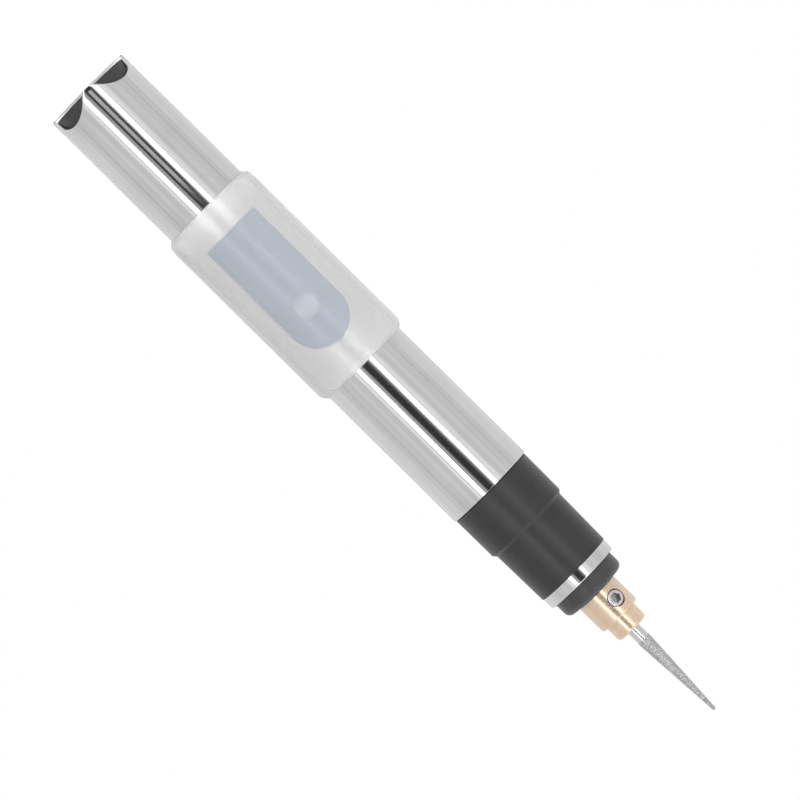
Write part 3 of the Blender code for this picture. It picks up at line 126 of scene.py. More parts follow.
def rim_height(along):
    """Height of the tail rim at a distance along it from the middle of the nearest land."""
    half_chord = BARREL_RADIUS * math.sin(math.pi / SCALLOPS - SCALLOP_LAND / 2 / BARREL_RADIUS)
    sweep = (half_chord**2 + SCALLOP_DEPTH**2) / (SCALLOP_DEPTH * 2)
    turn = math.asin(half_chord / sweep)
    corner_start = SCALLOP_LAND / 2 - LAND_CORNER * math.tan(turn / 2)
    if along <= corner_start:
        return 0.0
    if along <= corner_start + LAND_CORNER * math.sin(turn):
        return LAND_CORNER - math.sqrt(LAND_CORNER**2 - (along - corner_start)**2)
    across = BARREL_RADIUS * math.sin(math.pi / SCALLOPS - along / BARREL_RADIUS)
    return SCALLOP_DEPTH - sweep + math.sqrt(sweep**2 - across**2)


def barrel_columns():
    """The tube's section all round, with a wide soft edge on the lands of its tail rim."""
    columns = []
    pitch = math.tau / SCALLOPS
    for column in range(RIM_COLUMNS):
        angle = math.tau * column / RIM_COLUMNS
        along = abs((angle + pitch / 2) % pitch - pitch / 2) * BARREL_RADIUS
        low = rim_height(along)
        blend = min(1.0, max(0.0, (along - SCALLOP_LAND / 4) / SCALLOP_LAND))
        depth = LAND_EDGE_DEPTH + (SCALLOP_EDGE_DEPTH - LAND_EDGE_DEPTH) * blend
        height = LAND_EDGE_HEIGHT + (SCALLOP_EDGE_HEIGHT - LAND_EDGE_HEIGHT) * blend
        points = [on_circle(BARREL_BORE, angle, BARREL_LENGTH - EDGE_GUARD)]
        arcs = (
            (BARREL_BORE, BARREL_LENGTH, RIM_ROUNDING, -RIM_ROUNDING, False),
            (BARREL_RADIUS, BARREL_LENGTH, -RIM_ROUNDING, -RIM_ROUNDING, True),
            (BARREL_RADIUS, low, -depth, height, False),
            (BARREL_BORE, low, RIM_ROUNDING, RIM_ROUNDING, True),
        )
        for radius, end, inward, back, from_end in arcs:
            for step in range(ROUNDING_STEPS + 1):
                lean = math.pi / 2 * step / ROUNDING_STEPS
                lean = math.pi / 2 - lean if from_end else lean
                points.append(on_circle(
                    radius + inward * (1 - math.cos(lean)), angle, end + back * (1 - math.sin(lean)),
                ))
            if radius == BARREL_RADIUS and end == BARREL_LENGTH:
                points.append(on_circle(radius, angle, BARREL_LENGTH - EDGE_GUARD))
                points.append(on_circle(radius, angle, low + height + EDGE_GUARD))
        points.append(on_circle(BARREL_BORE, angle, low + EDGE_GUARD))
        columns.append(points)
    return columns


def window_outline(inset):
    """The window's outline in (x, height), square at the tail end and round at the nose end."""
    half = WINDOW_WIDTH / 2 - inset
    centre = WINDOW_END - WINDOW_WIDTH / 2
    low = WINDOW_START + inset
    outline = []
    for step in range(WINDOW_ARC_STEPS + 1):
        angle = math.pi * step / WINDOW_ARC_STEPS
        outline.append((half * math.cos(angle), centre + half * math.sin(angle)))
    for side, start in ((-1, math.pi), (1, math.pi * 1.5)):
        for step in range(WINDOW_CORNER_STEPS + 1):
            angle = start + math.pi / 2 * step / WINDOW_CORNER_STEPS
            x = side * (half - WINDOW_CORNER) + WINDOW_CORNER * math.cos(angle)
            outline.append((x, low + WINDOW_CORNER + WINDOW_CORNER * math.sin(angle)))
    return outline


def outward(mesh):
    """Closes a mesh's open ends and makes its faces all look outwards."""
    shape = bmesh.new()
    shape.from_mesh(mesh)
    bmesh.ops.holes_fill(shape, edges=shape.edges, sides=0)
    bmesh.ops.recalc_face_normals(shape, faces=shape.faces)
    shape.to_mesh(mesh)
    shape.free()
    return mesh


def plate(name, outline, low, high, matrix=None):
    """A solid on an outline in (x, y), between two heights of its own frame."""
    mesh = outward(loft(name, [[(x, y, low), (x, y, high)] for x, y in outline], closed=False))
    if matrix is not None:
        mesh.transform(matrix)
    return mesh


def combine(mesh, other, operation="DIFFERENCE"):
    """A mesh cut with another, joined to it, or what they share, as a mesh of its own."""
    scene = bpy.context.scene
    item = bpy.data.objects.new("worked", mesh)
    cutter = bpy.data.objects.new("cutter", other)
    scene.collection.objects.link(item)
    scene.collection.objects.link(cutter)
    modifier = item.modifiers.new("cut", "BOOLEAN")
    modifier.operation = operation
    modifier.object = cutter
    modifier.solver = "EXACT"
    bpy.context.view_layer.update()
    made = bpy.data.meshes.new_from_object(item.evaluated_get(bpy.context.evaluated_depsgraph_get()))
    made.name = mesh.name
    bpy.data.objects.remove(item)
    bpy.data.objects.remove(cutter)
    return made


def node_group(name, inputs, outputs):
    """A shader node group with its sockets, and its input and output nodes."""
    group = bpy.data.node_groups.new(name, "ShaderNodeTree")
    for label, kind, value in inputs:
        socket = group.interface.new_socket(label, in_out="INPUT", socket_type="NodeSocket" + kind)
        socket.default_value = value
    for label, kind in outputs:
        group.interface.new_socket(label, in_out="OUTPUT", socket_type="NodeSocket" + kind)
    return group, group.nodes.new("NodeGroupInput"), group.nodes.new("NodeGroupOutput")


def add(tree, kind, values=None, **settings):
    """A node with its settings and the values or links of its inputs."""
    node = tree.nodes.new("ShaderNode" + kind)
    for label, setting in settings.items():
        setattr(node, label, setting)
    for socket, value in (values or {}).items():
        if isinstance(value, bpy.types.NodeSocket):
            tree.links.new(value, node.inputs[socket])
        else:
            node.inputs[socket].default_value = value
    return node


def maths(tree, operation, *values, **settings):
    """What a Math node makes of its values or links."""
    return add(tree, "Math", dict(enumerate(values)), operation=operation, **settings).outputs[0]


def mix_colours(tree, factor, one, other):
    """The colour between two, by a factor."""
    node = add(tree, "Mix", data_type="RGBA")
    for socket, value in ((node.inputs[0], factor), (node.inputs[6], one), (node.inputs[7], other)):
        if isinstance(value, bpy.types.NodeSocket):
            tree.links.new(value, socket)
        else:
            socket.default_value = value
    return node.outputs[2]


def make_surface_marks():
    """Grain or marks all over a surface: a second tone, a change of gloss and a fine relief."""
    group, given, result = node_group(
        "surface_marks",
        [
            ("Tone", "Color", (0.5, 0.5, 0.5, 1.0)),
            ("Second Tone", "Color", (0.4, 0.4, 0.4, 1.0)),
            ("Marks per Metre", "Vector", (1000.0, 1000.0, 1000.0)),
            ("Blotches per Metre", "Float", 300.0),
            ("Tone Contrast", "Float", 1.0),
            ("Smoothest", "Float", 0.3),
            ("Roughest", "Float", 0.5),
            ("Relief", "Float", 0.2),
            ("Relief Depth", "Float", 0.00002),
        ],
        [("Colour", "Color"), ("Roughness", "Float"), ("Normal", "Vector")],
    )
    place = add(group, "TexCoord").outputs["Object"]
    spacing = given.outputs["Marks per Metre"]
    stretched = add(group, "VectorMath", {0: place, 1: spacing}, operation="MULTIPLY").outputs[0]
    marks = add(group, "TexNoise", {"Vector": stretched, "Scale": 1.0, "Detail": MARK_DETAIL})
    blotches = add(group, "TexNoise", {
        "Vector": place,
        "Scale": given.outputs["Blotches per Metre"],
        "Detail": BLOTCH_DETAIL,
    })
    both = maths(group, "ADD", marks.outputs["Fac"], blotches.outputs["Fac"])
    centred = maths(group, "ADD", both, -1.0)
    spread = maths(group, "MULTIPLY", centred, given.outputs["Tone Contrast"])
    share = maths(group, "ADD", spread, 0.5, use_clamp=True)
    tone = mix_colours(group, share, given.outputs["Tone"], given.outputs["Second Tone"])
    gloss = add(group, "MapRange", {
        "Value": share,
        "To Min": given.outputs["Smoothest"],
        "To Max": given.outputs["Roughest"],
    })
    relief = add(group, "Bump", {
        "Strength": given.outputs["Relief"],
        "Distance": given.outputs["Relief Depth"],
        "Height": marks.outputs["Fac"],
    })
    group.links.new(tone, result.inputs["Colour"])
    group.links.new(gloss.outputs[0], result.inputs["Roughness"])
    group.links.new(relief.outputs[0], result.inputs["Normal"])
    return group


SURFACE_MARKS = make_surface_marks()


def finish(name, tone, second, marks, blotches, contrast, gloss, relief, **fixed):
    """A material with marks all over; relief is a strength and a depth in millimetres."""
    material = bpy.data.materials.new(name)
    material.use_nodes = True
    tree = material.node_tree
    shader = tree.nodes["Principled BSDF"]
    for label, value in fixed.items():
        shader.inputs[label.replace("_", " ")].default_value = value
    surface = add(tree, "Group", node_tree=SURFACE_MARKS)
    values = {
        "Tone": (*tone, 1.0),
        "Second Tone": (*second, 1.0),
        "Marks per Metre": marks,
        "Blotches per Metre": blotches,
        "Tone Contrast": contrast,
        "Smoothest": gloss[0],
        "Roughest": gloss[1],
        "Relief": relief[0],
        "Relief Depth": relief[1] * MM,
    }
    for label, value in values.items():
        surface.inputs[label].default_value = value
    tree.links.new(surface.outputs["Colour"], shader.inputs["Base Color"])
    tree.links.new(surface.outputs["Roughness"], shader.inputs["Roughness"])
    tree.links.new(surface.outputs["Normal"], shader.inputs["Normal"])
    return material


def satin_under_sleeve(material):
    """Roughens and pales the barrel's steel between the ends of the sleeve."""
    tree = material.node_tree
    shader = tree.nodes["Principled BSDF"]
    polished = shader.inputs["Roughness"].links[0].from_socket
    bright = shader.inputs["Base Color"].links[0].from_socket
    height = add(tree, "SeparateXYZ", {0: add(tree, "TexCoord").outputs["Object"]}).outputs["Z"]
    past_tail = maths(tree, "GREATER_THAN", height, SLEEVE_START + SATIN_INSET)
    before_nose = maths(tree, "LESS_THAN", height, SLEEVE_FRONT - SATIN_INSET)
    covered = maths(tree, "MULTIPLY", past_tail, before_nose)
    satin = maths(tree, "MULTIPLY", covered, SATIN_ROUGHNESS)
    rough = maths(tree, "ADD", satin, polished)
    tree.links.new(rough, shader.inputs["Roughness"])
    tree.links.new(mix_colours(tree, covered, bright, SATIN_TONE), shader.inputs["Base Color"])


POLISHED_STEEL = finish(
    "polished_steel", (0.65, 0.65, 0.65), (0.6, 0.6, 0.6), (2600.0, 2600.0, 60.0), 130.0, 2.4,
    gloss=(0.04, 0.08), relief=(0.12, 0.004), Metallic=1.0,
)
BARREL_STEEL = finish(
    "barrel_steel", (0.65, 0.65, 0.65), (0.6, 0.6, 0.6), (2600.0, 2600.0, 60.0), 130.0, 2.4,
    gloss=(0.04, 0.08), relief=(0.12, 0.004), Metallic=1.0,
)
satin_under_sleeve(BARREL_STEEL)
barrel_mesh = combine(
    loft("barrel", barrel_columns()),
    plate("window", window_outline(0.0), WINDOW_CUT_FOOT, BARREL_RADIUS + CUT_PAST, SWITCH_SIDE),
)
show("barrel", barrel_mesh, BARREL_STEEL, "body", "polished_steel", "barrel_tube")


# Tail plug: a black moulded disc pushed into the barrel behind the scallops, with the mouth of the
# charging socket in its middle and a ledge inside that carries the charging board.
PLUG_RADIUS = 7.45 * MM
PLUG_TAIL = 0.44 * MM
PLUG_FRONT = 5.64 * MM
PLUG_EDGE = 0.3 * MM
LEDGE_HALF_WIDTH = 4.0 * MM
LEDGE_LOW = 2.73 * MM
LEDGE_HIGH = 4.33 * MM
LEDGE_FRONT = 9.04 * MM
SOCKET_WIDTH = 8.94 * MM
SOCKET_HEIGHT = 3.26 * MM
SOCKET_FIT = 0.05 * MM
ROUND_STEPS = 144
OVAL_STEPS = 20
LEAST_FACETS = 2
ROUNDING_FACET = 0.12 * MM
SHORT_EDGE = EDGE_GUARD * 3


def turned(name, profile, steps=ROUND_STEPS, matrix=None):
    """A turned mesh from corners (radius, height, rounding) that run round its section."""
    outline = []
    for index, (radius, height, rounding) in enumerate(profile):
        here = Vector((radius, height))
        if rounding == 0:
            outline.append(here)
            continue
        before = (Vector(profile[index - 1][:2]) - here).normalized()
        after = (Vector(profile[(index + 1) % len(profile)][:2]) - here).normalized()
        half = before.angle(after) / 2
        arm = rounding / math.tan(half)
        centre = here + (before + after).normalized() * rounding / math.sin(half)
        start = here + before * arm - centre
        sweep = start.angle_signed(here + after * arm - centre)
        count = LEAST_FACETS + round(rounding / ROUNDING_FACET)
        for step in range(count + 1):
            outline.append(centre + Matrix.Rotation(-sweep * step / count, 2) @ start)
    solid = profile[0][0] == 0 and profile[-1][0] == 0
    guarded = []
    for index, point in enumerate(outline):
        guarded.append(point)
        span = outline[(index + 1) % len(outline)] - point
        if span.length > SHORT_EDGE and not (solid and index == len(outline) - 1):
            guarded.append(point + span.normalized() * EDGE_GUARD)
            guarded.append(point + span - span.normalized() * EDGE_GUARD)
    columns = []
    for step in range(steps):
        angle = math.tau * step / steps
        columns.append([on_circle(max(point.x, 0.0), angle, point.y) for point in guarded])
    mesh = loft(name, columns, closed=not solid)
    if matrix is not None:
        mesh.transform(matrix)
    return mesh


def arc(centre, radius, start, stop, steps):
    """Points on an arc between two angles, both ends with it."""
    angles = [start + (stop - start) * step / steps for step in range(steps + 1)]
    return [(centre[0] + radius * math.cos(a), centre[1] + radius * math.sin(a)) for a in angles]


def stadium(width, height):
    """An oval outline with straight long sides and round ends."""
    radius = height / 2
    straight = width / 2 - radius
    right = arc((straight, 0.0), radius, -math.pi / 2, math.pi / 2, OVAL_STEPS)
    return right + arc((-straight, 0.0), radius, math.pi / 2, math.pi * 1.5, OVAL_STEPS)


def box_outline(half_width, low, high):
    """A box outline, even to both sides."""
    return [(-half_width, low), (half_width, low), (half_width, high), (-half_width, high)]


BLACK_PLASTIC = finish(
    "black_plastic", (0.028, 0.028, 0.029), (0.042, 0.042, 0.043), (4500.0, 4500.0, 4500.0), 500.0, 1.0,
    gloss=(0.45, 0.62), relief=(0.25, 0.01),
)
plug_mesh = turned("tail_plug_dressed", [
    (0.0, PLUG_TAIL, 0),
    (PLUG_RADIUS, PLUG_TAIL, PLUG_EDGE),
    (PLUG_RADIUS, PLUG_FRONT, PLUG_EDGE),
    (0.0, PLUG_FRONT, 0),
])
ledge_outline = box_outline(LEDGE_HALF_WIDTH, LEDGE_LOW, LEDGE_HIGH)
ledge = plate("ledge", ledge_outline, PLUG_FRONT - CUT_PAST, LEDGE_FRONT)
mouth_outline = stadium(SOCKET_WIDTH + SOCKET_FIT * 2, SOCKET_HEIGHT + SOCKET_FIT * 2)
plug_mesh = combine(plug_mesh, ledge, "UNION")
plug_mesh = combine(plug_mesh, plate("mouth", mouth_outline, -CUT_PAST, LEDGE_FRONT + CUT_PAST))
show("plug", plug_mesh, BLACK_PLASTIC, "body", "black_plastic", "tail_plug")


# Charging socket: a folded steel shell round a black tongue with gilt contacts on both of its faces,
# pushed into the plug from inside and soldered to the charging board.
SHELL_TAIL = 0.74 * MM
SHELL_FRONT = 8.04 * MM
SHELL_WALL = 0.3 * MM
SHELL_LIP = 0.06 * MM
CONTACTS = 12
CONTACT_PITCH = 0.5 * MM
CONTACT_WIDTH = 0.26 * MM
CONTACT_TAIL = 2.4 * MM
CONTACT_FRONT = 6.2 * MM
CONTACT_HALF = 0.385 * MM

PLATED_STEEL = finish(
    "plated_steel", (0.52, 0.52, 0.53), (0.6, 0.6, 0.61), (3000.0, 3000.0, 500.0), 400.0, 1.2,
    gloss=(0.2, 0.34), relief=(0.15, 0.006), Metallic=1.0,
)
GILT = finish(
    "gilt_contacts", (0.83, 0.61, 0.25), (0.74, 0.52, 0.2), (5000.0, 5000.0, 900.0), 600.0, 1.0,
    gloss=(0.18, 0.3), relief=(0.1, 0.004), Metallic=1.0,
)


def dress(material, *nodes):
    """Gives CAD nodes that keep their own meshes a finish."""
    for node in nodes:
        NODES[node].data.materials.clear()
        NODES[node].data.materials.append(material)


outer = stadium(SOCKET_WIDTH, SOCKET_HEIGHT)
lip = stadium(SOCKET_WIDTH - SHELL_LIP * 2, SOCKET_HEIGHT - SHELL_LIP * 2)
inner = stadium(SOCKET_WIDTH - SHELL_WALL * 2, SOCKET_HEIGHT - SHELL_WALL * 2)
shell_columns = []
for (x, y), (lip_x, lip_y), (bore_x, bore_y) in zip(outer, lip, inner):
    shell_columns.append([
        (x, y, SHELL_FRONT),
        (x, y, SHELL_TAIL + SHELL_LIP),
        (lip_x, lip_y, SHELL_TAIL),
        (bore_x, bore_y, SHELL_TAIL),
        (bore_x, bore_y, SHELL_FRONT),
    ])
show("socket_shell", loft("socket_shell", shell_columns), PLATED_STEEL, "body", "plated_steel", "usb_shell")
dress(BLACK_PLASTIC, "usb_tongue")
for contact in range(CONTACTS):
    middle = (contact - (CONTACTS - 1) / 2) * CONTACT_PITCH
    outline = box_outline(CONTACT_WIDTH / 2, -CONTACT_HALF, CONTACT_HALF)
    place = Matrix.Translation((middle, 0.0, 0.0))
    mesh = plate(f"socket_contact_{contact + 1}", outline, CONTACT_TAIL, CONTACT_FRONT, place)
    show(f"socket_contact_{contact + 1}", mesh, GILT, "body", "brass")


# Charging board: a green glass-fibre board with its charging chip. It lies on the plug's ledge and is
# soldered to the charging socket.
BOARD_GREEN = finish(
    "board_green", (0.018, 0.105, 0.05), (0.04, 0.17, 0.08), (900.0, 900.0, 900.0), 1500.0, 2.5,
    gloss=(0.22, 0.4), relief=(0.3, 0.01), Coat_Weight=0.3,
)
dress(BOARD_GREEN, "charge_board")
dress(BLACK_PLASTIC, "charge_chip")


# Cell: wound foils in a plated steel can, closed by a gasket and a cap, in a blue shrink film. It lies
# in a trough of the inner frame.
CELL_FOIL = finish(
    "cell_foil", (0.2, 0.2, 0.21), (0.32, 0.3, 0.28), (300.0, 300.0, 6000.0), 300.0, 1.5,
    gloss=(0.35, 0.5), relief=(0.3, 0.01), Metallic=0.6,
)
CELL_FILM = finish(
    "cell_film", (0.03, 0.13, 0.36), (0.05, 0.18, 0.44), (900.0, 900.0, 120.0), 220.0, 1.5,
    gloss=(0.16, 0.3), relief=(0.25, 0.02), Coat_Weight=0.4,
)
WHITE_PLASTIC = finish(
    "white_plastic", (0.74, 0.74, 0.72), (0.68, 0.68, 0.66), (3500.0, 3500.0, 3500.0), 300.0, 1.0,
    gloss=(0.4, 0.55), relief=(0.2, 0.008),
)
dress(PLATED_STEEL, "cell_can", "cell_cap")
dress(CELL_FOIL, "cell_core")
dress(CELL_FILM, "cell_wrap")
dress(WHITE_PLASTIC, "cell_gasket")


# Inner frame: a moulded cradle of white plastic that slides into the barrel, with a trough for the
# cell and rails for the switch board.
dress(WHITE_PLASTIC, "inner_frame")


# Switch: a small tactile switch on its board, a steel plate over a snap dome, and a round button
# with a low domed head that stands in the panel's hole and shows faintly through the sleeve.
SWITCH_HEIGHT = 50.2 * MM
BUTTON_TOP = 7.95 * MM
BUTTON_DOME = 0.32 * MM
BUTTON_HEAD = 2.3 * MM
BUTTON_STEM = 1.6 * MM
BUTTON_FLANGE = 2.0 * MM
HEAD_FOOT = 7.17 * MM
FLANGE_FACE = 6.62 * MM
FLANGE_BACK = 6.27 * MM
HEAD_ROUNDING = 0.12 * MM
DOME_RINGS = 10
BUTTON_STEPS = 96
EDGE_BLUE = (0.36, 0.52, 0.74, 1.0)
EDGE_FADE = 2.0


def deepen_edge(material):
    """Turns the button darker and bluer from its middle to its edge."""
    tree = material.node_tree
    shader = tree.nodes["Principled BSDF"]
    pale = shader.inputs["Base Color"].links[0].from_socket
    place = add(tree, "TexCoord").outputs["Object"]
    middle = (0.0, -BUTTON_TOP, SWITCH_HEIGHT)
    reach = add(tree, "VectorMath", {0: place, 1: middle}, operation="DISTANCE").outputs["Value"]
    share = maths(tree, "DIVIDE", reach, BUTTON_HEAD, use_clamp=True)
    edge = maths(tree, "POWER", share, EDGE_FADE)
    tree.links.new(mix_colours(tree, edge, pale, EDGE_BLUE), shader.inputs["Base Color"])


SPRING_STEEL = finish(
    "spring_steel", (0.58, 0.58, 0.56), (0.66, 0.65, 0.62), (2500.0, 2500.0, 2500.0), 600.0, 1.2,
    gloss=(0.16, 0.28), relief=(0.1, 0.004), Metallic=1.0,
)
BUTTON_GREY = finish(
    "button_grey", (0.64, 0.79, 0.98), (0.76, 0.89, 1.0), (900.0, 900.0, 900.0), 500.0, 2.0,
    gloss=(0.45, 0.55), relief=(0.1, 0.008), Specular_IOR_Level=1.0, IOR=1.6,
)
deepen_edge(BUTTON_GREY)
switch_axis = Matrix.Translation((0.0, 0.0, SWITCH_HEIGHT)) @ SWITCH_SIDE
button_profile = []
for ring in range(DOME_RINGS):
    share = ring / DOME_RINGS
    button_profile.append((BUTTON_HEAD * share, BUTTON_TOP - BUTTON_DOME * share**2, 0))
button_profile += [
    (BUTTON_HEAD, BUTTON_TOP - BUTTON_DOME, HEAD_ROUNDING),
    (BUTTON_HEAD, HEAD_FOOT, 0),
    (BUTTON_STEM, HEAD_FOOT, 0),
    (BUTTON_STEM, FLANGE_FACE, 0),
    (BUTTON_FLANGE, FLANGE_FACE, 0),
    (BUTTON_FLANGE, FLANGE_BACK, 0),
    (0.0, FLANGE_BACK, 0),
]
button_mesh = turned("button", button_profile, BUTTON_STEPS, switch_axis)
show("button_cap", button_mesh, BUTTON_GREY, "button", "white_plastic", "switch_button")
dress(BOARD_GREEN, "switch_board")
dress(BLACK_PLASTIC, "switch_housing")
dress(PLATED_STEEL, "switch_plate")
dress(SPRING_STEEL, "switch_dome")


# Window panel: a blue-grey moulded insert, flush with the barrel, hollow behind, with a hole for the
# button. Its skirt stands on the switch board.
PANEL_RADIUS = 7.95 * MM
PANEL_FIT = 0.05 * MM
PANEL_WALL = 0.7 * MM
PANEL_FOOT = 4.57 * MM
PANEL_CEILING = 5.916 * MM
SWITCH_POCKET_HALF = 3.2 * MM
SWITCH_POCKET_TOP = 6.97 * MM
BUTTON_HOLE = 2.4 * MM


def circle(radius, steps):
    """A closed round outline."""
    return arc((0.0, 0.0), radius, 0.0, math.tau, steps)[:-1]


PANEL_BLUE = finish(
    "panel_blue_grey", (0.145, 0.325, 0.56), (0.185, 0.365, 0.61), (1500.0, 1500.0, 400.0), 140.0, 1.4,
    gloss=(0.25, 0.31), relief=(0.02, 0.01), Specular_IOR_Level=1.0, IOR=1.6,
)
panel_mesh = plate("panel", window_outline(PANEL_FIT), PANEL_FOOT, BARREL_RADIUS + CUT_PAST, SWITCH_SIDE)
panel_face = turned("face", [
    (0.0, WINDOW_START - CUT_PAST, 0),
    (PANEL_RADIUS, WINDOW_START - CUT_PAST, 0),
    (PANEL_RADIUS, WINDOW_END + CUT_PAST, 0),
    (0.0, WINDOW_END + CUT_PAST, 0),
])
hollow_outline = window_outline(PANEL_FIT + PANEL_WALL)
hollow = plate("hollow", hollow_outline, PANEL_FOOT - CUT_PAST, PANEL_CEILING, SWITCH_SIDE)
pocket_outline = box_outline(SWITCH_POCKET_HALF, -SWITCH_POCKET_HALF, SWITCH_POCKET_HALF)
pocket = plate("pocket", pocket_outline, PANEL_FOOT - CUT_PAST, SWITCH_POCKET_TOP, switch_axis)
hole_outline = circle(BUTTON_HOLE, BUTTON_STEPS)
hole = plate("hole", hole_outline, PANEL_FOOT, BARREL_RADIUS + CUT_PAST * 2, switch_axis)
panel_mesh = combine(panel_mesh, panel_face, "INTERSECT")
for cutter in (hollow, pocket, hole):
    panel_mesh = combine(panel_mesh, cutter)
show("panel", panel_mesh, PANEL_BLUE, "body", "blue_grey_plastic", "window_panel")


# Silicone sleeve: a moulded cuff of milky silicone, stretched over the window. It keeps dust out of
# the switch and lets the finger press the button through it.
SLEEVE_OUTER = 9.05 * MM
SLEEVE_BORE = 8.05 * MM
SLEEVE_TAIL_SLOPE = 1.1 * MM
SLEEVE_NOSE_SLOPE = 1.3 * MM
SLEEVE_LIP = 0.06 * MM
SLOPE_FULLNESS = 1.6
SLOPE_STEPS = 14
SLEEVE_STEPS = 160
SKIN_ALPHA = 0.28
BORE_ALPHA = 0.47
BORE_WHITE = (0.95, 0.95, 0.95, 1.0)
THINNEST_TAIL = 0.53
THINNEST_NOSE = 0.75
SIDE_BLEND = 0.5
SIDE_CLOSES = 0.44
SIDE_CLOSED = 0.6

MILKY_SILICONE = finish(
    "milky_silicone", (0.615, 0.617, 0.62), (0.6, 0.603, 0.606), (260.0, 260.0, 120.0), 90.0, 1.6,
    gloss=(0.25, 0.3), relief=(0.004, 0.01), IOR=1.41,
)


def set_milkiness(material):
    """Clears the stretched tail end and the thin nose end, and closes the wall at the pen's sides."""
    tree = material.node_tree
    shader = tree.nodes["Principled BSDF"]
    skin = shader.inputs["Base Color"].links[0].from_socket
    point = add(tree, "SeparateXYZ", {0: add(tree, "TexCoord").outputs["Object"]})
    flat = add(tree, "CombineXYZ", {"X": point.outputs["X"], "Y": point.outputs["Y"]})
    radius = add(tree, "VectorMath", {0: flat.outputs[0]}, operation="LENGTH")
    in_bore = maths(tree, "LESS_THAN", radius.outputs["Value"], SLEEVE_BORE + SLEEVE_LIP / 2)
    tail_wall = add(tree, "MapRange", {
        "Value": point.outputs["Z"], "From Min": SLEEVE_START, "From Max": WINDOW_START,
        "To Min": THINNEST_TAIL, "To Max": 1.0,
    }).outputs[0]
    nose_wall = add(tree, "MapRange", {
        "Value": point.outputs["Z"], "From Min": SLEEVE_FRONT - SLEEVE_NOSE_SLOPE, "From Max": SLEEVE_FRONT,
        "To Min": 1.0, "To Max": THINNEST_NOSE,
    }).outputs[0]
    wall = maths(tree, "MULTIPLY", tail_wall, nose_wall)
    sideways = add(tree, "MapRange", {
        "Value": add(tree, "LayerWeight", {"Blend": SIDE_BLEND}).outputs["Facing"],
        "From Min": SIDE_CLOSES, "From Max": SIDE_CLOSED, "To Min": SKIN_ALPHA, "To Max": 1.0,
    }, interpolation_type="SMOOTHSTEP").outputs[0]
    full = add(tree, "MapRange", {"Value": in_bore, "To Min": sideways, "To Max": BORE_ALPHA}).outputs[0]
    tree.links.new(maths(tree, "MULTIPLY", full, wall), shader.inputs["Alpha"])
    tree.links.new(mix_colours(tree, in_bore, skin, BORE_WHITE), shader.inputs["Base Color"])


def soft_end(end, inward):
    """The sleeve's sloped end, from its full thickness down to a thin lip on the barrel."""
    points = []
    for step in range(SLOPE_STEPS + 1):
        lean = math.pi / 2 * step / SLOPE_STEPS
        thick = SLEEVE_LIP + (SLEEVE_OUTER - SLEEVE_BORE - SLEEVE_LIP) * math.cos(lean) ** SLOPE_FULLNESS
        points.append((SLEEVE_BORE + thick, end + inward * (1 - math.sin(lean) ** SLOPE_FULLNESS), 0))
    return points


set_milkiness(MILKY_SILICONE)
sleeve_mesh = turned("sleeve", [
    *reversed(soft_end(SLEEVE_START, SLEEVE_TAIL_SLOPE)),
    *soft_end(SLEEVE_FRONT, -SLEEVE_NOSE_SLOPE),
    (SLEEVE_BORE, SLEEVE_FRONT, 0),
    (SLEEVE_BORE, SLEEVE_START, 0),
], SLEEVE_STEPS)
show("sleeve", sleeve_mesh, MILKY_SILICONE, "body", "milky_silicone", "silicone_sleeve")


# Nose bush and nose tube: a turned bush in the barrel's front end takes a thinner polished tube,
# whose rounded end shows as a bright ring in front of the grip.
NOSE_RADIUS = 6.875 * MM
NOSE_BORE = 6.275 * MM
NOSE_TAIL = 86.0 * MM
NOSE_FRONT = 113.65 * MM
NOSE_ROUNDING = 0.3 * MM

dress(PLATED_STEEL, "nose_adapter")
nose_mesh = turned("nose", [
    (NOSE_BORE, NOSE_TAIL, 0),
    (NOSE_RADIUS, NOSE_TAIL, 0),
    (NOSE_RADIUS, NOSE_FRONT, NOSE_ROUNDING),
    (NOSE_BORE, NOSE_FRONT, NOSE_ROUNDING / 2),
])
show("nose_ring", nose_mesh, POLISHED_STEEL, "body", "polished_steel", "nose_tube")


# Grip: a stepped sleeve of matte black rubber, shrunk over the bush and the nose tube. Its thick end
# stands against the barrel.
GRIP_TAIL = 92.37 * MM
GRIP_NECK = 0.3 * MM
GRIP_NECK_LENGTH = 0.16 * MM
GRIP_STEP_TAIL = 100.65 * MM
GRIP_STEP_FRONT = 101.25 * MM
GRIP_FRONT = 111.6 * MM
GRIP_REAR_RADIUS = 7.825 * MM
GRIP_WAIST_RADIUS = 7.775 * MM
GRIP_NOSE_RADIUS = 7.25 * MM
GRIP_FRONT_RADIUS = 7.075 * MM
GRIP_REAR_BORE = 7.5 * MM
GRIP_NOSE_BORE = 6.925 * MM
GRIP_INNER_STEP = 100.65 * MM
GRIP_ROUNDING = 0.25 * MM

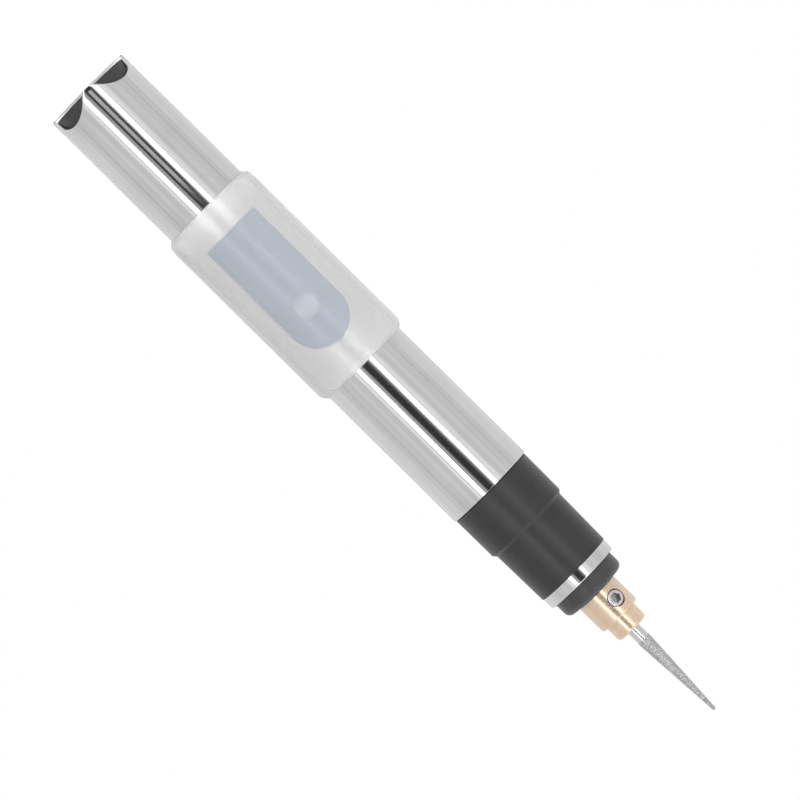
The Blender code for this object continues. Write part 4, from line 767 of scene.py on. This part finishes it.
BLACK_RUBBER = finish(
    "black_rubber", (0.014, 0.014, 0.015), (0.022, 0.022, 0.023), (3200.0, 3200.0, 2600.0), 260.0, 1.3,
    gloss=(0.36, 0.48), relief=(0.3, 0.012), Sheen_Weight=0.03,
)
grip_mesh = turned("grip", [
    (GRIP_REAR_RADIUS - GRIP_NECK, GRIP_TAIL, 0),
    (GRIP_REAR_RADIUS - GRIP_NECK, GRIP_TAIL + GRIP_NECK_LENGTH, 0),
    (GRIP_REAR_RADIUS, GRIP_TAIL + GRIP_NECK_LENGTH, GRIP_ROUNDING / 4),
    (GRIP_WAIST_RADIUS, GRIP_STEP_TAIL, GRIP_ROUNDING),
    (GRIP_NOSE_RADIUS, GRIP_STEP_FRONT, GRIP_ROUNDING),
    (GRIP_FRONT_RADIUS, GRIP_FRONT, GRIP_ROUNDING / 2),
    (GRIP_NOSE_BORE, GRIP_FRONT, 0),
    (GRIP_NOSE_BORE, GRIP_INNER_STEP, 0),
    (GRIP_REAR_BORE, GRIP_INNER_STEP, 0),
    (GRIP_REAR_BORE, GRIP_TAIL, 0),
])
show("grip", grip_mesh, BLACK_RUBBER, "body", "black_rubber", "grip_sleeve")


# Motor: a drawn can with two ferrite magnets and a moulded end cap, which holds carbon brushes,
# brass terminals and a sintered bronze bushing. It is pushed into the nose tube.
BRASS_STRIP = finish(
    "brass_strip", (0.76, 0.56, 0.3), (0.68, 0.48, 0.24), (3000.0, 3000.0, 600.0), 500.0, 1.2,
    gloss=(0.2, 0.34), relief=(0.12, 0.005), Metallic=1.0,
)
SINTERED_BRONZE = finish(
    "sintered_bronze", (0.46, 0.31, 0.17), (0.58, 0.4, 0.22), (9000.0, 9000.0, 9000.0), 900.0, 1.6,
    gloss=(0.4, 0.6), relief=(0.5, 0.01), Metallic=1.0,
)
FERRITE = finish(
    "ferrite", (0.05, 0.05, 0.055), (0.085, 0.085, 0.09), (5000.0, 5000.0, 5000.0), 500.0, 1.5,
    gloss=(0.5, 0.7), relief=(0.4, 0.012),
)
CARBON = finish(
    "carbon", (0.02, 0.02, 0.021), (0.05, 0.05, 0.052), (8000.0, 8000.0, 8000.0), 900.0, 1.5,
    gloss=(0.4, 0.6), relief=(0.4, 0.008), Metallic=0.2,
)
dress(PLATED_STEEL, "motor_can")
dress(FERRITE, "motor_magnet_left", "motor_magnet_right")
dress(WHITE_PLASTIC, "motor_end_cap")
dress(CARBON, "brush_left", "brush_right")
dress(BRASS_STRIP, "terminal_left", "terminal_right")
dress(SINTERED_BRONZE, "front_bushing", "rear_bushing")


# Rotor: a stack of three-pole steel laminations on a ground shaft, a coil of lacquered copper wire
# on each pole, and a copper commutator that the brushes rub on.
LAMINATIONS = finish(
    "laminations", (0.32, 0.32, 0.33), (0.5, 0.5, 0.5), (60.0, 60.0, 5000.0), 300.0, 1.6,
    gloss=(0.3, 0.45), relief=(0.6, 0.02), Metallic=1.0,
)
COPPER_WIRE = finish(
    "copper_wire", (0.62, 0.24, 0.1), (0.42, 0.14, 0.06), (7000.0, 7000.0, 120.0), 400.0, 2.0,
    gloss=(0.2, 0.34), relief=(0.8, 0.03), Metallic=1.0,
)
COPPER = finish(
    "copper", (0.74, 0.36, 0.2), (0.6, 0.27, 0.14), (800.0, 800.0, 7000.0), 400.0, 1.6,
    gloss=(0.2, 0.36), relief=(0.2, 0.006), Metallic=1.0,
)
dress(LAMINATIONS, "rotor_core")
dress(COPPER_WIRE, "rotor_coil_1", "rotor_coil_2", "rotor_coil_3")
dress(COPPER, "commutator")
dress(PLATED_STEEL, "motor_shaft")


# Nose cap: a soft black ring pushed into the nose tube in front of the motor. Its bore clears the
# hub of the chuck.
CAP_RADIUS = 6.15 * MM
CAP_BORE = 2.9 * MM
CAP_TAIL = 112.7 * MM
CAP_FRONT = 116.74 * MM
CAP_ROUNDING = 1.15 * MM
CAP_LIP = 0.1 * MM

CAP_RUBBER = finish(
    "cap_rubber", (0.028, 0.028, 0.029), (0.044, 0.044, 0.045), (3600.0, 3600.0, 3600.0), 420.0, 1.8,
    gloss=(0.42, 0.6), relief=(0.35, 0.015), Sheen_Weight=0.15,
)
cap_mesh = turned("cap", [
    (CAP_BORE, CAP_TAIL, 0),
    (CAP_RADIUS, CAP_TAIL, 0),
    (CAP_RADIUS, CAP_FRONT, CAP_ROUNDING),
    (CAP_BORE, CAP_FRONT, CAP_LIP),
])
show("cap", cap_mesh, CAP_RUBBER, "body", "black_rubber", "nose_cap")


# Chuck: a stepped sleeve turned from brass and pressed on the motor's shaft. A hex socket screw in
# its side clamps the burr's shank.
CHUCK_TAIL = 116.86 * MM
CHUCK_STEP = 122.3 * MM
CHUCK_FRONT = 125.27 * MM
CHUCK_RADIUS = 3.85 * MM
CHUCK_STEP_RADIUS = 3.0 * MM
CHUCK_EDGE = 0.35 * MM
CHUCK_NOSE_EDGE = 0.6 * MM
HUB_RADIUS = 2.5 * MM
HUB_TAIL = 114.1 * MM
SHAFT_BORE = 1.05 * MM
SHAFT_BORE_FRONT = 118.6 * MM
BURR_BORE = 1.225 * MM
SCREW_HEIGHT = 119.55 * MM
SCREW_TURN = math.radians(25.7)
SCREW_RADIUS = 1.45 * MM
SCREW_FIT = 0.1 * MM
SCREW_HEAD = 3.7 * MM
SCREW_TIP = 1.275 * MM
SCREW_EDGE = 0.28 * MM
HEX_ACROSS = 1.6 * MM
HEX_DEPTH = 0.85 * MM
HEX_CORNERS = 6
HEX_REACH_SHARE = 0.6
# How far below the screw's face the painted shade of the hex socket begins.
SOCKET_SHADE_START = 0.04 * MM
SCREW_STEPS = 64
# Painted shade inside the screw's hex socket: the colour of its walls, then of its floor.
SOCKET_WALL_SHADE = (0.13, 0.12, 0.13, 1.0)
SOCKET_FLOOR_SHADE = (0.36, 0.37, 0.35, 1.0)

TURNED_BRASS = finish(
    "turned_brass", (0.775, 0.61, 0.455), (0.725, 0.55, 0.4), (60.0, 60.0, 2600.0), 300.0, 1.6,
    gloss=(0.22, 0.25), relief=(0.004, 0.004), Metallic=0.64,
)
SCREW_STEEL = finish(
    "screw_steel", (0.68, 0.66, 0.7), (0.58, 0.56, 0.6), (2500.0, 2500.0, 2500.0), 900.0, 1.2,
    gloss=(0.2, 0.3), relief=(0.15, 0.005), Metallic=1.0,
)


def paint_socket_shade(material, axis):
    """Paints shade into the hex socket: a dark colour on its walls and a lighter one on its floor."""
    tree = material.node_tree
    shader = tree.nodes["Principled BSDF"]
    unshaded = shader.inputs["Base Color"].links[0].from_socket
    here = add(tree, "TexCoord").outputs["Object"]
    place = add(tree, "VectorMath", {0: here, 1: axis.translation}, operation="SUBTRACT").outputs[0]
    up = axis.to_3x3() @ Vector((0.0, 0.0, 1.0))
    height = add(tree, "VectorMath", {0: place, 1: up}, operation="DOT_PRODUCT").outputs["Value"]
    foot = add(tree, "VectorMath", {0: up, "Scale": height}, operation="SCALE").outputs[0]
    out = add(tree, "VectorMath", {0: place, 1: foot}, operation="DISTANCE").outputs["Value"]
    inside = maths(tree, "LESS_THAN", out, HEX_ACROSS * HEX_REACH_SHARE)
    below = maths(tree, "LESS_THAN", height, SCREW_HEAD - SOCKET_SHADE_START)
    shaded = maths(tree, "MULTIPLY", inside, below)
    on_floor = maths(tree, "LESS_THAN", height, SCREW_HEAD - HEX_DEPTH + SOCKET_SHADE_START)
    # The painted shade covers the socket's walls and floor, and the rest keeps the steel's own colour.
    socket_shade = mix_colours(tree, on_floor, SOCKET_WALL_SHADE, SOCKET_FLOOR_SHADE)
    tree.links.new(mix_colours(tree, shaded, unshaded, socket_shade), shader.inputs["Base Color"])


chuck_mesh = turned("chuck", [
    (BURR_BORE, CHUCK_FRONT, 0),
    (BURR_BORE, SHAFT_BORE_FRONT, 0),
    (SHAFT_BORE, SHAFT_BORE_FRONT, 0),
    (SHAFT_BORE, HUB_TAIL, 0),
    (HUB_RADIUS, HUB_TAIL, 0),
    (HUB_RADIUS, CHUCK_TAIL, 0),
    (CHUCK_RADIUS, CHUCK_TAIL, CHUCK_EDGE / 4),
    (CHUCK_RADIUS, CHUCK_STEP, CHUCK_EDGE),
    (CHUCK_STEP_RADIUS, CHUCK_STEP, 0),
    (CHUCK_STEP_RADIUS, CHUCK_FRONT, CHUCK_NOSE_EDGE),
])
screw_axis = Matrix.Rotation(-SCREW_TURN, 4, "Z") @ Matrix.Translation((0.0, 0.0, SCREW_HEIGHT)) @ SWITCH_SIDE
hole_outline = circle(SCREW_RADIUS + SCREW_FIT, SCREW_STEPS)
screw_hole = plate("screw_hole", hole_outline, BURR_BORE / 2, CHUCK_RADIUS + CUT_PAST, screw_axis)
show("chuck_sleeve", combine(chuck_mesh, screw_hole), TURNED_BRASS, "spindle", "brass", "chuck")
screw_mesh = turned("screw", [
    (0.0, SCREW_TIP, 0),
    (SCREW_RADIUS, SCREW_TIP, SCREW_EDGE),
    (SCREW_RADIUS, SCREW_HEAD, SCREW_EDGE),
    (0.0, SCREW_HEAD, 0),
], SCREW_STEPS, screw_axis)
# Paints shade into the screw's hex socket.
paint_socket_shade(SCREW_STEEL, screw_axis)
hexagon = circle(HEX_ACROSS / math.sqrt(3.0), HEX_CORNERS)
hex_socket = plate("hex_socket", hexagon, SCREW_HEAD - HEX_DEPTH, SCREW_HEAD + CUT_PAST, screw_axis)
screw_mesh = combine(screw_mesh, hex_socket)
show("clamp_screw", screw_mesh, SCREW_STEEL, "clamp_screw", "plated_steel", "chuck_screw")


# Burr: a plated steel shank with a long tapered head, coated with coarse diamond grit in nickel.
# The grit is modelled: each ring of the coat is set in and out by chance.
SHANK_RADIUS = 1.175 * MM
SHANK_TAIL = 118.9 * MM
SHANK_EDGE = 0.2 * MM
COAT_TAIL = 127.8 * MM
COAT_STRAIGHT_FRONT = 128.4 * MM
COAT_FRONT = 144.2 * MM
COAT_RADIUS = 1.21 * MM
COAT_TIP_RADIUS = 0.28 * MM
COAT_BORE = 1.07 * MM
COAT_BORE_TIP = 0.14 * MM
COAT_BORE_FRONT = 143.64 * MM
CORE_FIT = 0.05 * MM
GRIT_STEP = 0.13 * MM
GRIT_COLUMNS = 52
GRIT_OUT = 0.02 * MM
GRIT_IN = 0.05 * MM
GRIT_IN_PARTS = 3
GRIT_TURN_SHARE = 0.4
GRIT_SHIFT_SHARE = 0.35
GRIT_SEED = 11
TIP_RINGS = 4
SHANK_STEPS = 64

BURR_STEEL = finish(
    "burr_steel", (0.66, 0.66, 0.66), (0.6, 0.6, 0.6), (3000.0, 3000.0, 900.0), 700.0, 1.4,
    gloss=(0.22, 0.3), relief=(0.12, 0.004), Metallic=1.0,
)
DIAMOND_GRIT = finish(
    "diamond_grit", (0.27, 0.27, 0.275), (0.6, 0.6, 0.6), (9000.0, 9000.0, 9000.0), 4000.0, 2.2,
    gloss=(0.3, 0.5), relief=(0.4, 0.015), Metallic=0.75,
)
blank_mesh = turned("blank", [
    (0.0, SHANK_TAIL, 0),
    (SHANK_RADIUS, SHANK_TAIL, SHANK_EDGE),
    (SHANK_RADIUS, COAT_TAIL - CORE_FIT, 0),
    (COAT_BORE - CORE_FIT, COAT_TAIL - CORE_FIT, 0),
    (COAT_BORE - CORE_FIT, COAT_STRAIGHT_FRONT, 0),
    (COAT_BORE_TIP - CORE_FIT, COAT_BORE_FRONT - CORE_FIT * 2, 0),
    (0.0, COAT_BORE_FRONT - CORE_FIT * 2, 0),
], SHANK_STEPS)
show("burr_shank", blank_mesh, BURR_STEEL, "burr", "plated_steel", "burr_blank")
rings = [(COAT_RADIUS, COAT_TAIL)]
height = COAT_STRAIGHT_FRONT
while height < COAT_FRONT - COAT_TIP_RADIUS:
    share = (height - COAT_STRAIGHT_FRONT) / (COAT_FRONT - COAT_STRAIGHT_FRONT)
    rings.append((COAT_RADIUS + (COAT_TIP_RADIUS - COAT_RADIUS) * share, height))
    height += GRIT_STEP
for ring in range(TIP_RINGS):
    lean = math.pi / 2 * ring / TIP_RINGS
    rings.append((COAT_TIP_RADIUS * math.cos(lean), COAT_FRONT - COAT_TIP_RADIUS * (1 - math.sin(lean))))
chance = random.Random(GRIT_SEED)
coat_columns = []
for column in range(GRIT_COLUMNS):
    angle = math.tau * column / GRIT_COLUMNS
    points = [(0.0, 0.0, COAT_BORE_FRONT), on_circle(COAT_BORE_TIP, angle, COAT_BORE_FRONT)]
    points += [on_circle(COAT_BORE, angle, COAT_STRAIGHT_FRONT), on_circle(COAT_BORE, angle, COAT_TAIL)]
    for index, (radius, height) in enumerate(rings):
        depth = min(GRIT_IN, radius / GRIT_IN_PARTS)
        radius += chance.uniform(-depth, GRIT_OUT)
        turn = angle + chance.uniform(-GRIT_TURN_SHARE, GRIT_TURN_SHARE) * math.tau / GRIT_COLUMNS
        if 0 < index < len(rings) - TIP_RINGS:
            height += chance.uniform(-GRIT_SHIFT_SHARE, GRIT_SHIFT_SHARE) * GRIT_STEP
        points.append(on_circle(radius, turn, height))
    points.append((0.0, 0.0, COAT_FRONT))
    coat_columns.append(points)
coat_mesh = loft("coat", coat_columns, closed=False)
coat = show("burr_coat", coat_mesh, DIAMOND_GRIT, "burr", "diamond_grit", "burr_diamond")
coat.data.shade_flat()


# Wires: stranded copper in red and black insulation, soldered to the cell, the boards and the motor.
# The positive side is red.
RED_INSULATION = finish(
    "red_insulation", (0.5, 0.025, 0.02), (0.6, 0.04, 0.03), (2500.0, 2500.0, 2500.0), 400.0, 1.2,
    gloss=(0.3, 0.45), relief=(0.15, 0.006),
)
BLACK_INSULATION = finish(
    "black_insulation", (0.018, 0.018, 0.019), (0.03, 0.03, 0.032), (2500.0, 2500.0, 2500.0), 400.0, 1.2,
    gloss=(0.3, 0.45), relief=(0.15, 0.006),
)
dress(RED_INSULATION, "wire_cell_positive", "wire_board_positive", "wire_motor_positive")
dress(BLACK_INSULATION, "wire_cell_negative", "wire_board_negative", "wire_motor_negative")


# Studio: a white table in a white room, lit by two tall soft lamps in front and two behind. Tall cards
# that only reflections see are white at the lamps and black or grey between them. The room's own
# light is a little brighter towards -X.
WHITE = (1.0, 1.0, 1.0, 1.0)
FLOOR_HALF = 3.0
FLOOR_TONE = (0.86, 0.86, 0.86, 1.0)
FLOOR_ROUGHNESS = 0.9
FLOOR_LIFT = 0.48
LAMP_DISTANCE = 0.6
LAMP_HEIGHT = 1.4
LAMP_WIDTH = 9.5
LAMP_LEVEL = 1.9
LAMP_AZIMUTH = 23.5
CARD_DISTANCE = 0.5
CARD_LOW = -1.2
CARD_HIGH = 0.95
CARD_DIP = -30.0 * MM
CARD_FOOT = 16.0 * MM
CARD_FACET = math.radians(2.0)
STRIP_LEVEL = 4.0
PEN_MIDDLE = 72.0 * MM
DIFFUSE_LEVEL = 0.9
DIFFUSE_LEAN = -0.25
END_CARD_RADIUS = 0.3
END_CARD_STEPS = 32
END_CARDS = (("low_card", -0.6, 1.0), ("high_card", 0.8, 1.8))
FULL_CARDS = (
    (-164.0, -98.0, 0.92),
    (-98.0, -84.0, 0.82),
    (-84.0, -78.0, 0.74),
    (-78.0, -60.0, 0.82),
    (-60.0, -50.0, 0.88),
    (-50.0, -38.0, 0.82),
    (-32.5, -27.0, 1.13),
    (-27.0, -22.9, 1.02),
    (-22.9, -13.6, STRIP_LEVEL),
    (-13.6, -10.5, 0.68),
    (-10.5, -8.5, 0.28),
    (8.2, 10.6, 0.25),
    (10.6, 17.8, 0.52),
    (17.8, 27.3, STRIP_LEVEL),
    (27.3, 31.5, 0.9),
    (31.5, 36.0, 1.19),
    (36.0, 38.0, 0.95),
    (38.0, 50.0, 0.82),
    (50.0, 60.0, 0.88),
    (60.0, 78.0, 0.82),
    (78.0, 84.0, 0.74),
    (84.0, 98.0, 0.82),
    (98.0, 164.0, 0.92),
    (164.0, 171.0, 0.3),
    (171.0, 189.0, 0.05),
    (189.0, 196.0, 0.3),
)
TAIL_CARDS = ((-8.5, -5.5, 0.03), (-5.5, -3.5, 0.28), (-3.5, 3.5, 0.64), (3.5, 5.3, 0.2), (5.3, 8.2, 0.03))
NOSE_CARDS = ((-8.5, -6.5, 0.15), (-6.5, -4.0, 0.1), (-4.0, 8.2, 0.05))


def towards(azimuth, distance, height):
    """A point round the pen; azimuth 0 is on the switch side and 90 is on +X."""
    return Vector((math.sin(azimuth) * distance, -math.cos(azimuth) * distance, height))


def lamp(name, azimuth):
    """A tall soft lamp that faces the pen."""
    light = bpy.data.lights.new(name, "AREA")
    light.shape = "RECTANGLE"
    light.size = LAMP_DISTANCE * math.tan(math.radians(LAMP_WIDTH) / 2) * 2
    light.size_y = LAMP_HEIGHT
    light.energy = LAMP_LEVEL * math.pi * light.size * light.size_y
    item = bpy.data.objects.new(name, light)
    item.location = towards(math.radians(azimuth), LAMP_DISTANCE, PEN_MIDDLE)
    item.rotation_euler = (math.radians(90.0), 0.0, math.radians(azimuth))
    item.visible_camera = False
    item.visible_glossy = False
    bpy.context.scene.collection.objects.link(item)


def card(name, points, faces, level):
    """A glowing card that only reflections see."""
    material = bpy.data.materials.new(name)
    material.use_nodes = True
    material.cycles.emission_sampling = "NONE"
    tree = material.node_tree
    tree.nodes.remove(tree.nodes["Principled BSDF"])
    glow = add(tree, "Emission", {"Color": WHITE, "Strength": level})
    tree.links.new(glow.outputs[0], tree.nodes["Material Output"].inputs["Surface"])
    mesh = bpy.data.meshes.new(name)
    mesh.from_pydata(points, [], faces)
    mesh.materials.append(material)
    item = bpy.data.objects.new(name, mesh)
    bpy.context.scene.collection.objects.link(item)
    item.visible_camera = False
    item.visible_diffuse = False
    item.visible_transmission = False
    item.visible_shadow = False


def tall_card(name, start, stop, low, high, level):
    """A curved card between two azimuths and two heights."""
    start, stop = math.radians(start), math.radians(stop)
    count = max(1, round((stop - start) / CARD_FACET))
    points = []
    for step in range(count + 1):
        azimuth = start + (stop - start) * step / count
        points += [towards(azimuth, CARD_DISTANCE, low), towards(azimuth, CARD_DISTANCE, high)]
    card(name, points, [(i * 2, i * 2 + 2, i * 2 + 3, i * 2 + 1) for i in range(count)], level)


floor_mesh = bpy.data.meshes.new("floor")
corners = box_outline(FLOOR_HALF, -FLOOR_HALF, FLOOR_HALF)
floor_mesh.from_pydata([(x, y, 0.0) for x, y in corners], [], [(0, 1, 2, 3)])
floor = bpy.data.objects.new("floor", floor_mesh)
bpy.context.scene.collection.objects.link(floor)
table_white = bpy.data.materials.new("table_white")
table_white.use_nodes = True
table_shader = table_white.node_tree.nodes["Principled BSDF"]
table_shader.inputs["Base Color"].default_value = FLOOR_TONE
table_shader.inputs["Roughness"].default_value = FLOOR_ROUGHNESS
table_shader.inputs["Specular IOR Level"].default_value = 0.0
table_shader.inputs["Emission Color"].default_value = WHITE
seen = add(table_white.node_tree, "LightPath").outputs["Is Camera Ray"]
lift = maths(table_white.node_tree, "MULTIPLY", seen, FLOOR_LIFT)
table_white.node_tree.links.new(lift, table_shader.inputs["Emission Strength"])
floor_mesh.materials.append(table_white)
floor.visible_glossy = False

for side, turn in (("front", 0.0), ("back", 180.0)):
    lamp(f"{side}_lamp_left", turn - LAMP_AZIMUTH)
    lamp(f"{side}_lamp_right", turn + LAMP_AZIMUTH)
for number, (start, stop, level) in enumerate(FULL_CARDS):
    tall_card(f"full_card_{number + 1}", start, stop, CARD_LOW, CARD_HIGH, level)
for number, (start, stop, level) in enumerate(TAIL_CARDS):
    tall_card(f"tail_card_{number + 1}", start, stop, CARD_DIP, CARD_FOOT, level)
for number, (start, stop, level) in enumerate(NOSE_CARDS):
    tall_card(f"nose_card_{number + 1}", start, stop, CARD_FOOT, CARD_HIGH, level)
tall_card("foot_card", TAIL_CARDS[0][0], TAIL_CARDS[-1][1], CARD_LOW, CARD_DIP, NOSE_CARDS[-1][2])
for name, height, level in END_CARDS:
    rim = circle(END_CARD_RADIUS, END_CARD_STEPS)
    card(name, [(x, y, height) for x, y in rim], [tuple(range(END_CARD_STEPS))], level)

world = bpy.data.worlds.new("white_room")
bpy.context.scene.world = world
world.use_nodes = True
room = world.node_tree
room.nodes.clear()
path = add(room, "LightPath").outputs
either = maths(room, "MAXIMUM", path["Is Camera Ray"], path["Is Glossy Ray"])
seen = maths(room, "MAXIMUM", either, path["Is Transmission Ray"])
way = add(room, "SeparateXYZ", {0: add(room, "TexCoord").outputs["Generated"]})
lit = maths(room, "MULTIPLY_ADD", way.outputs["X"], DIFFUSE_LEAN, DIFFUSE_LEVEL)
level = add(room, "MapRange", {"Value": seen, "To Min": lit, "To Max": 1.0})
light = add(room, "Background", {"Color": WHITE, "Strength": level.outputs[0]})
room.links.new(light.outputs[0], add(room, "OutputWorld").inputs["Surface"])


# Camera: a long lens a little to the tail side of the pen's middle, rolled so that the pen lies with
# its tail at the upper left.
CAMERA_PLACE = Vector((0.22 * MM, -1.15, 40.34 * MM))
CAMERA_TARGET = Vector((0.22 * MM, 0.0, 71.94 * MM))
CAMERA_ROLL = math.radians(134.66)
CAMERA_LENS = 317.0
SENSOR_WIDTH = 36.0

camera = bpy.data.objects.new("camera", bpy.data.cameras.new("camera"))
camera.data.lens = CAMERA_LENS
camera.data.sensor_width = SENSOR_WIDTH
look = (CAMERA_TARGET - CAMERA_PLACE).normalized()
across_pen = Vector((1.0, 0.0, 0.0))
along_pen = across_pen.cross(look)
right = across_pen * math.cos(CAMERA_ROLL) + along_pen * math.sin(CAMERA_ROLL)
turn = Matrix((right, right.cross(look), look * -1.0)).transposed()
camera.matrix_world = Matrix.Translation(CAMERA_PLACE) @ turn.to_4x4()
bpy.context.scene.collection.objects.link(camera)
bpy.context.scene.camera = camera
bpy.context.scene.view_settings.view_transform = "Standard"
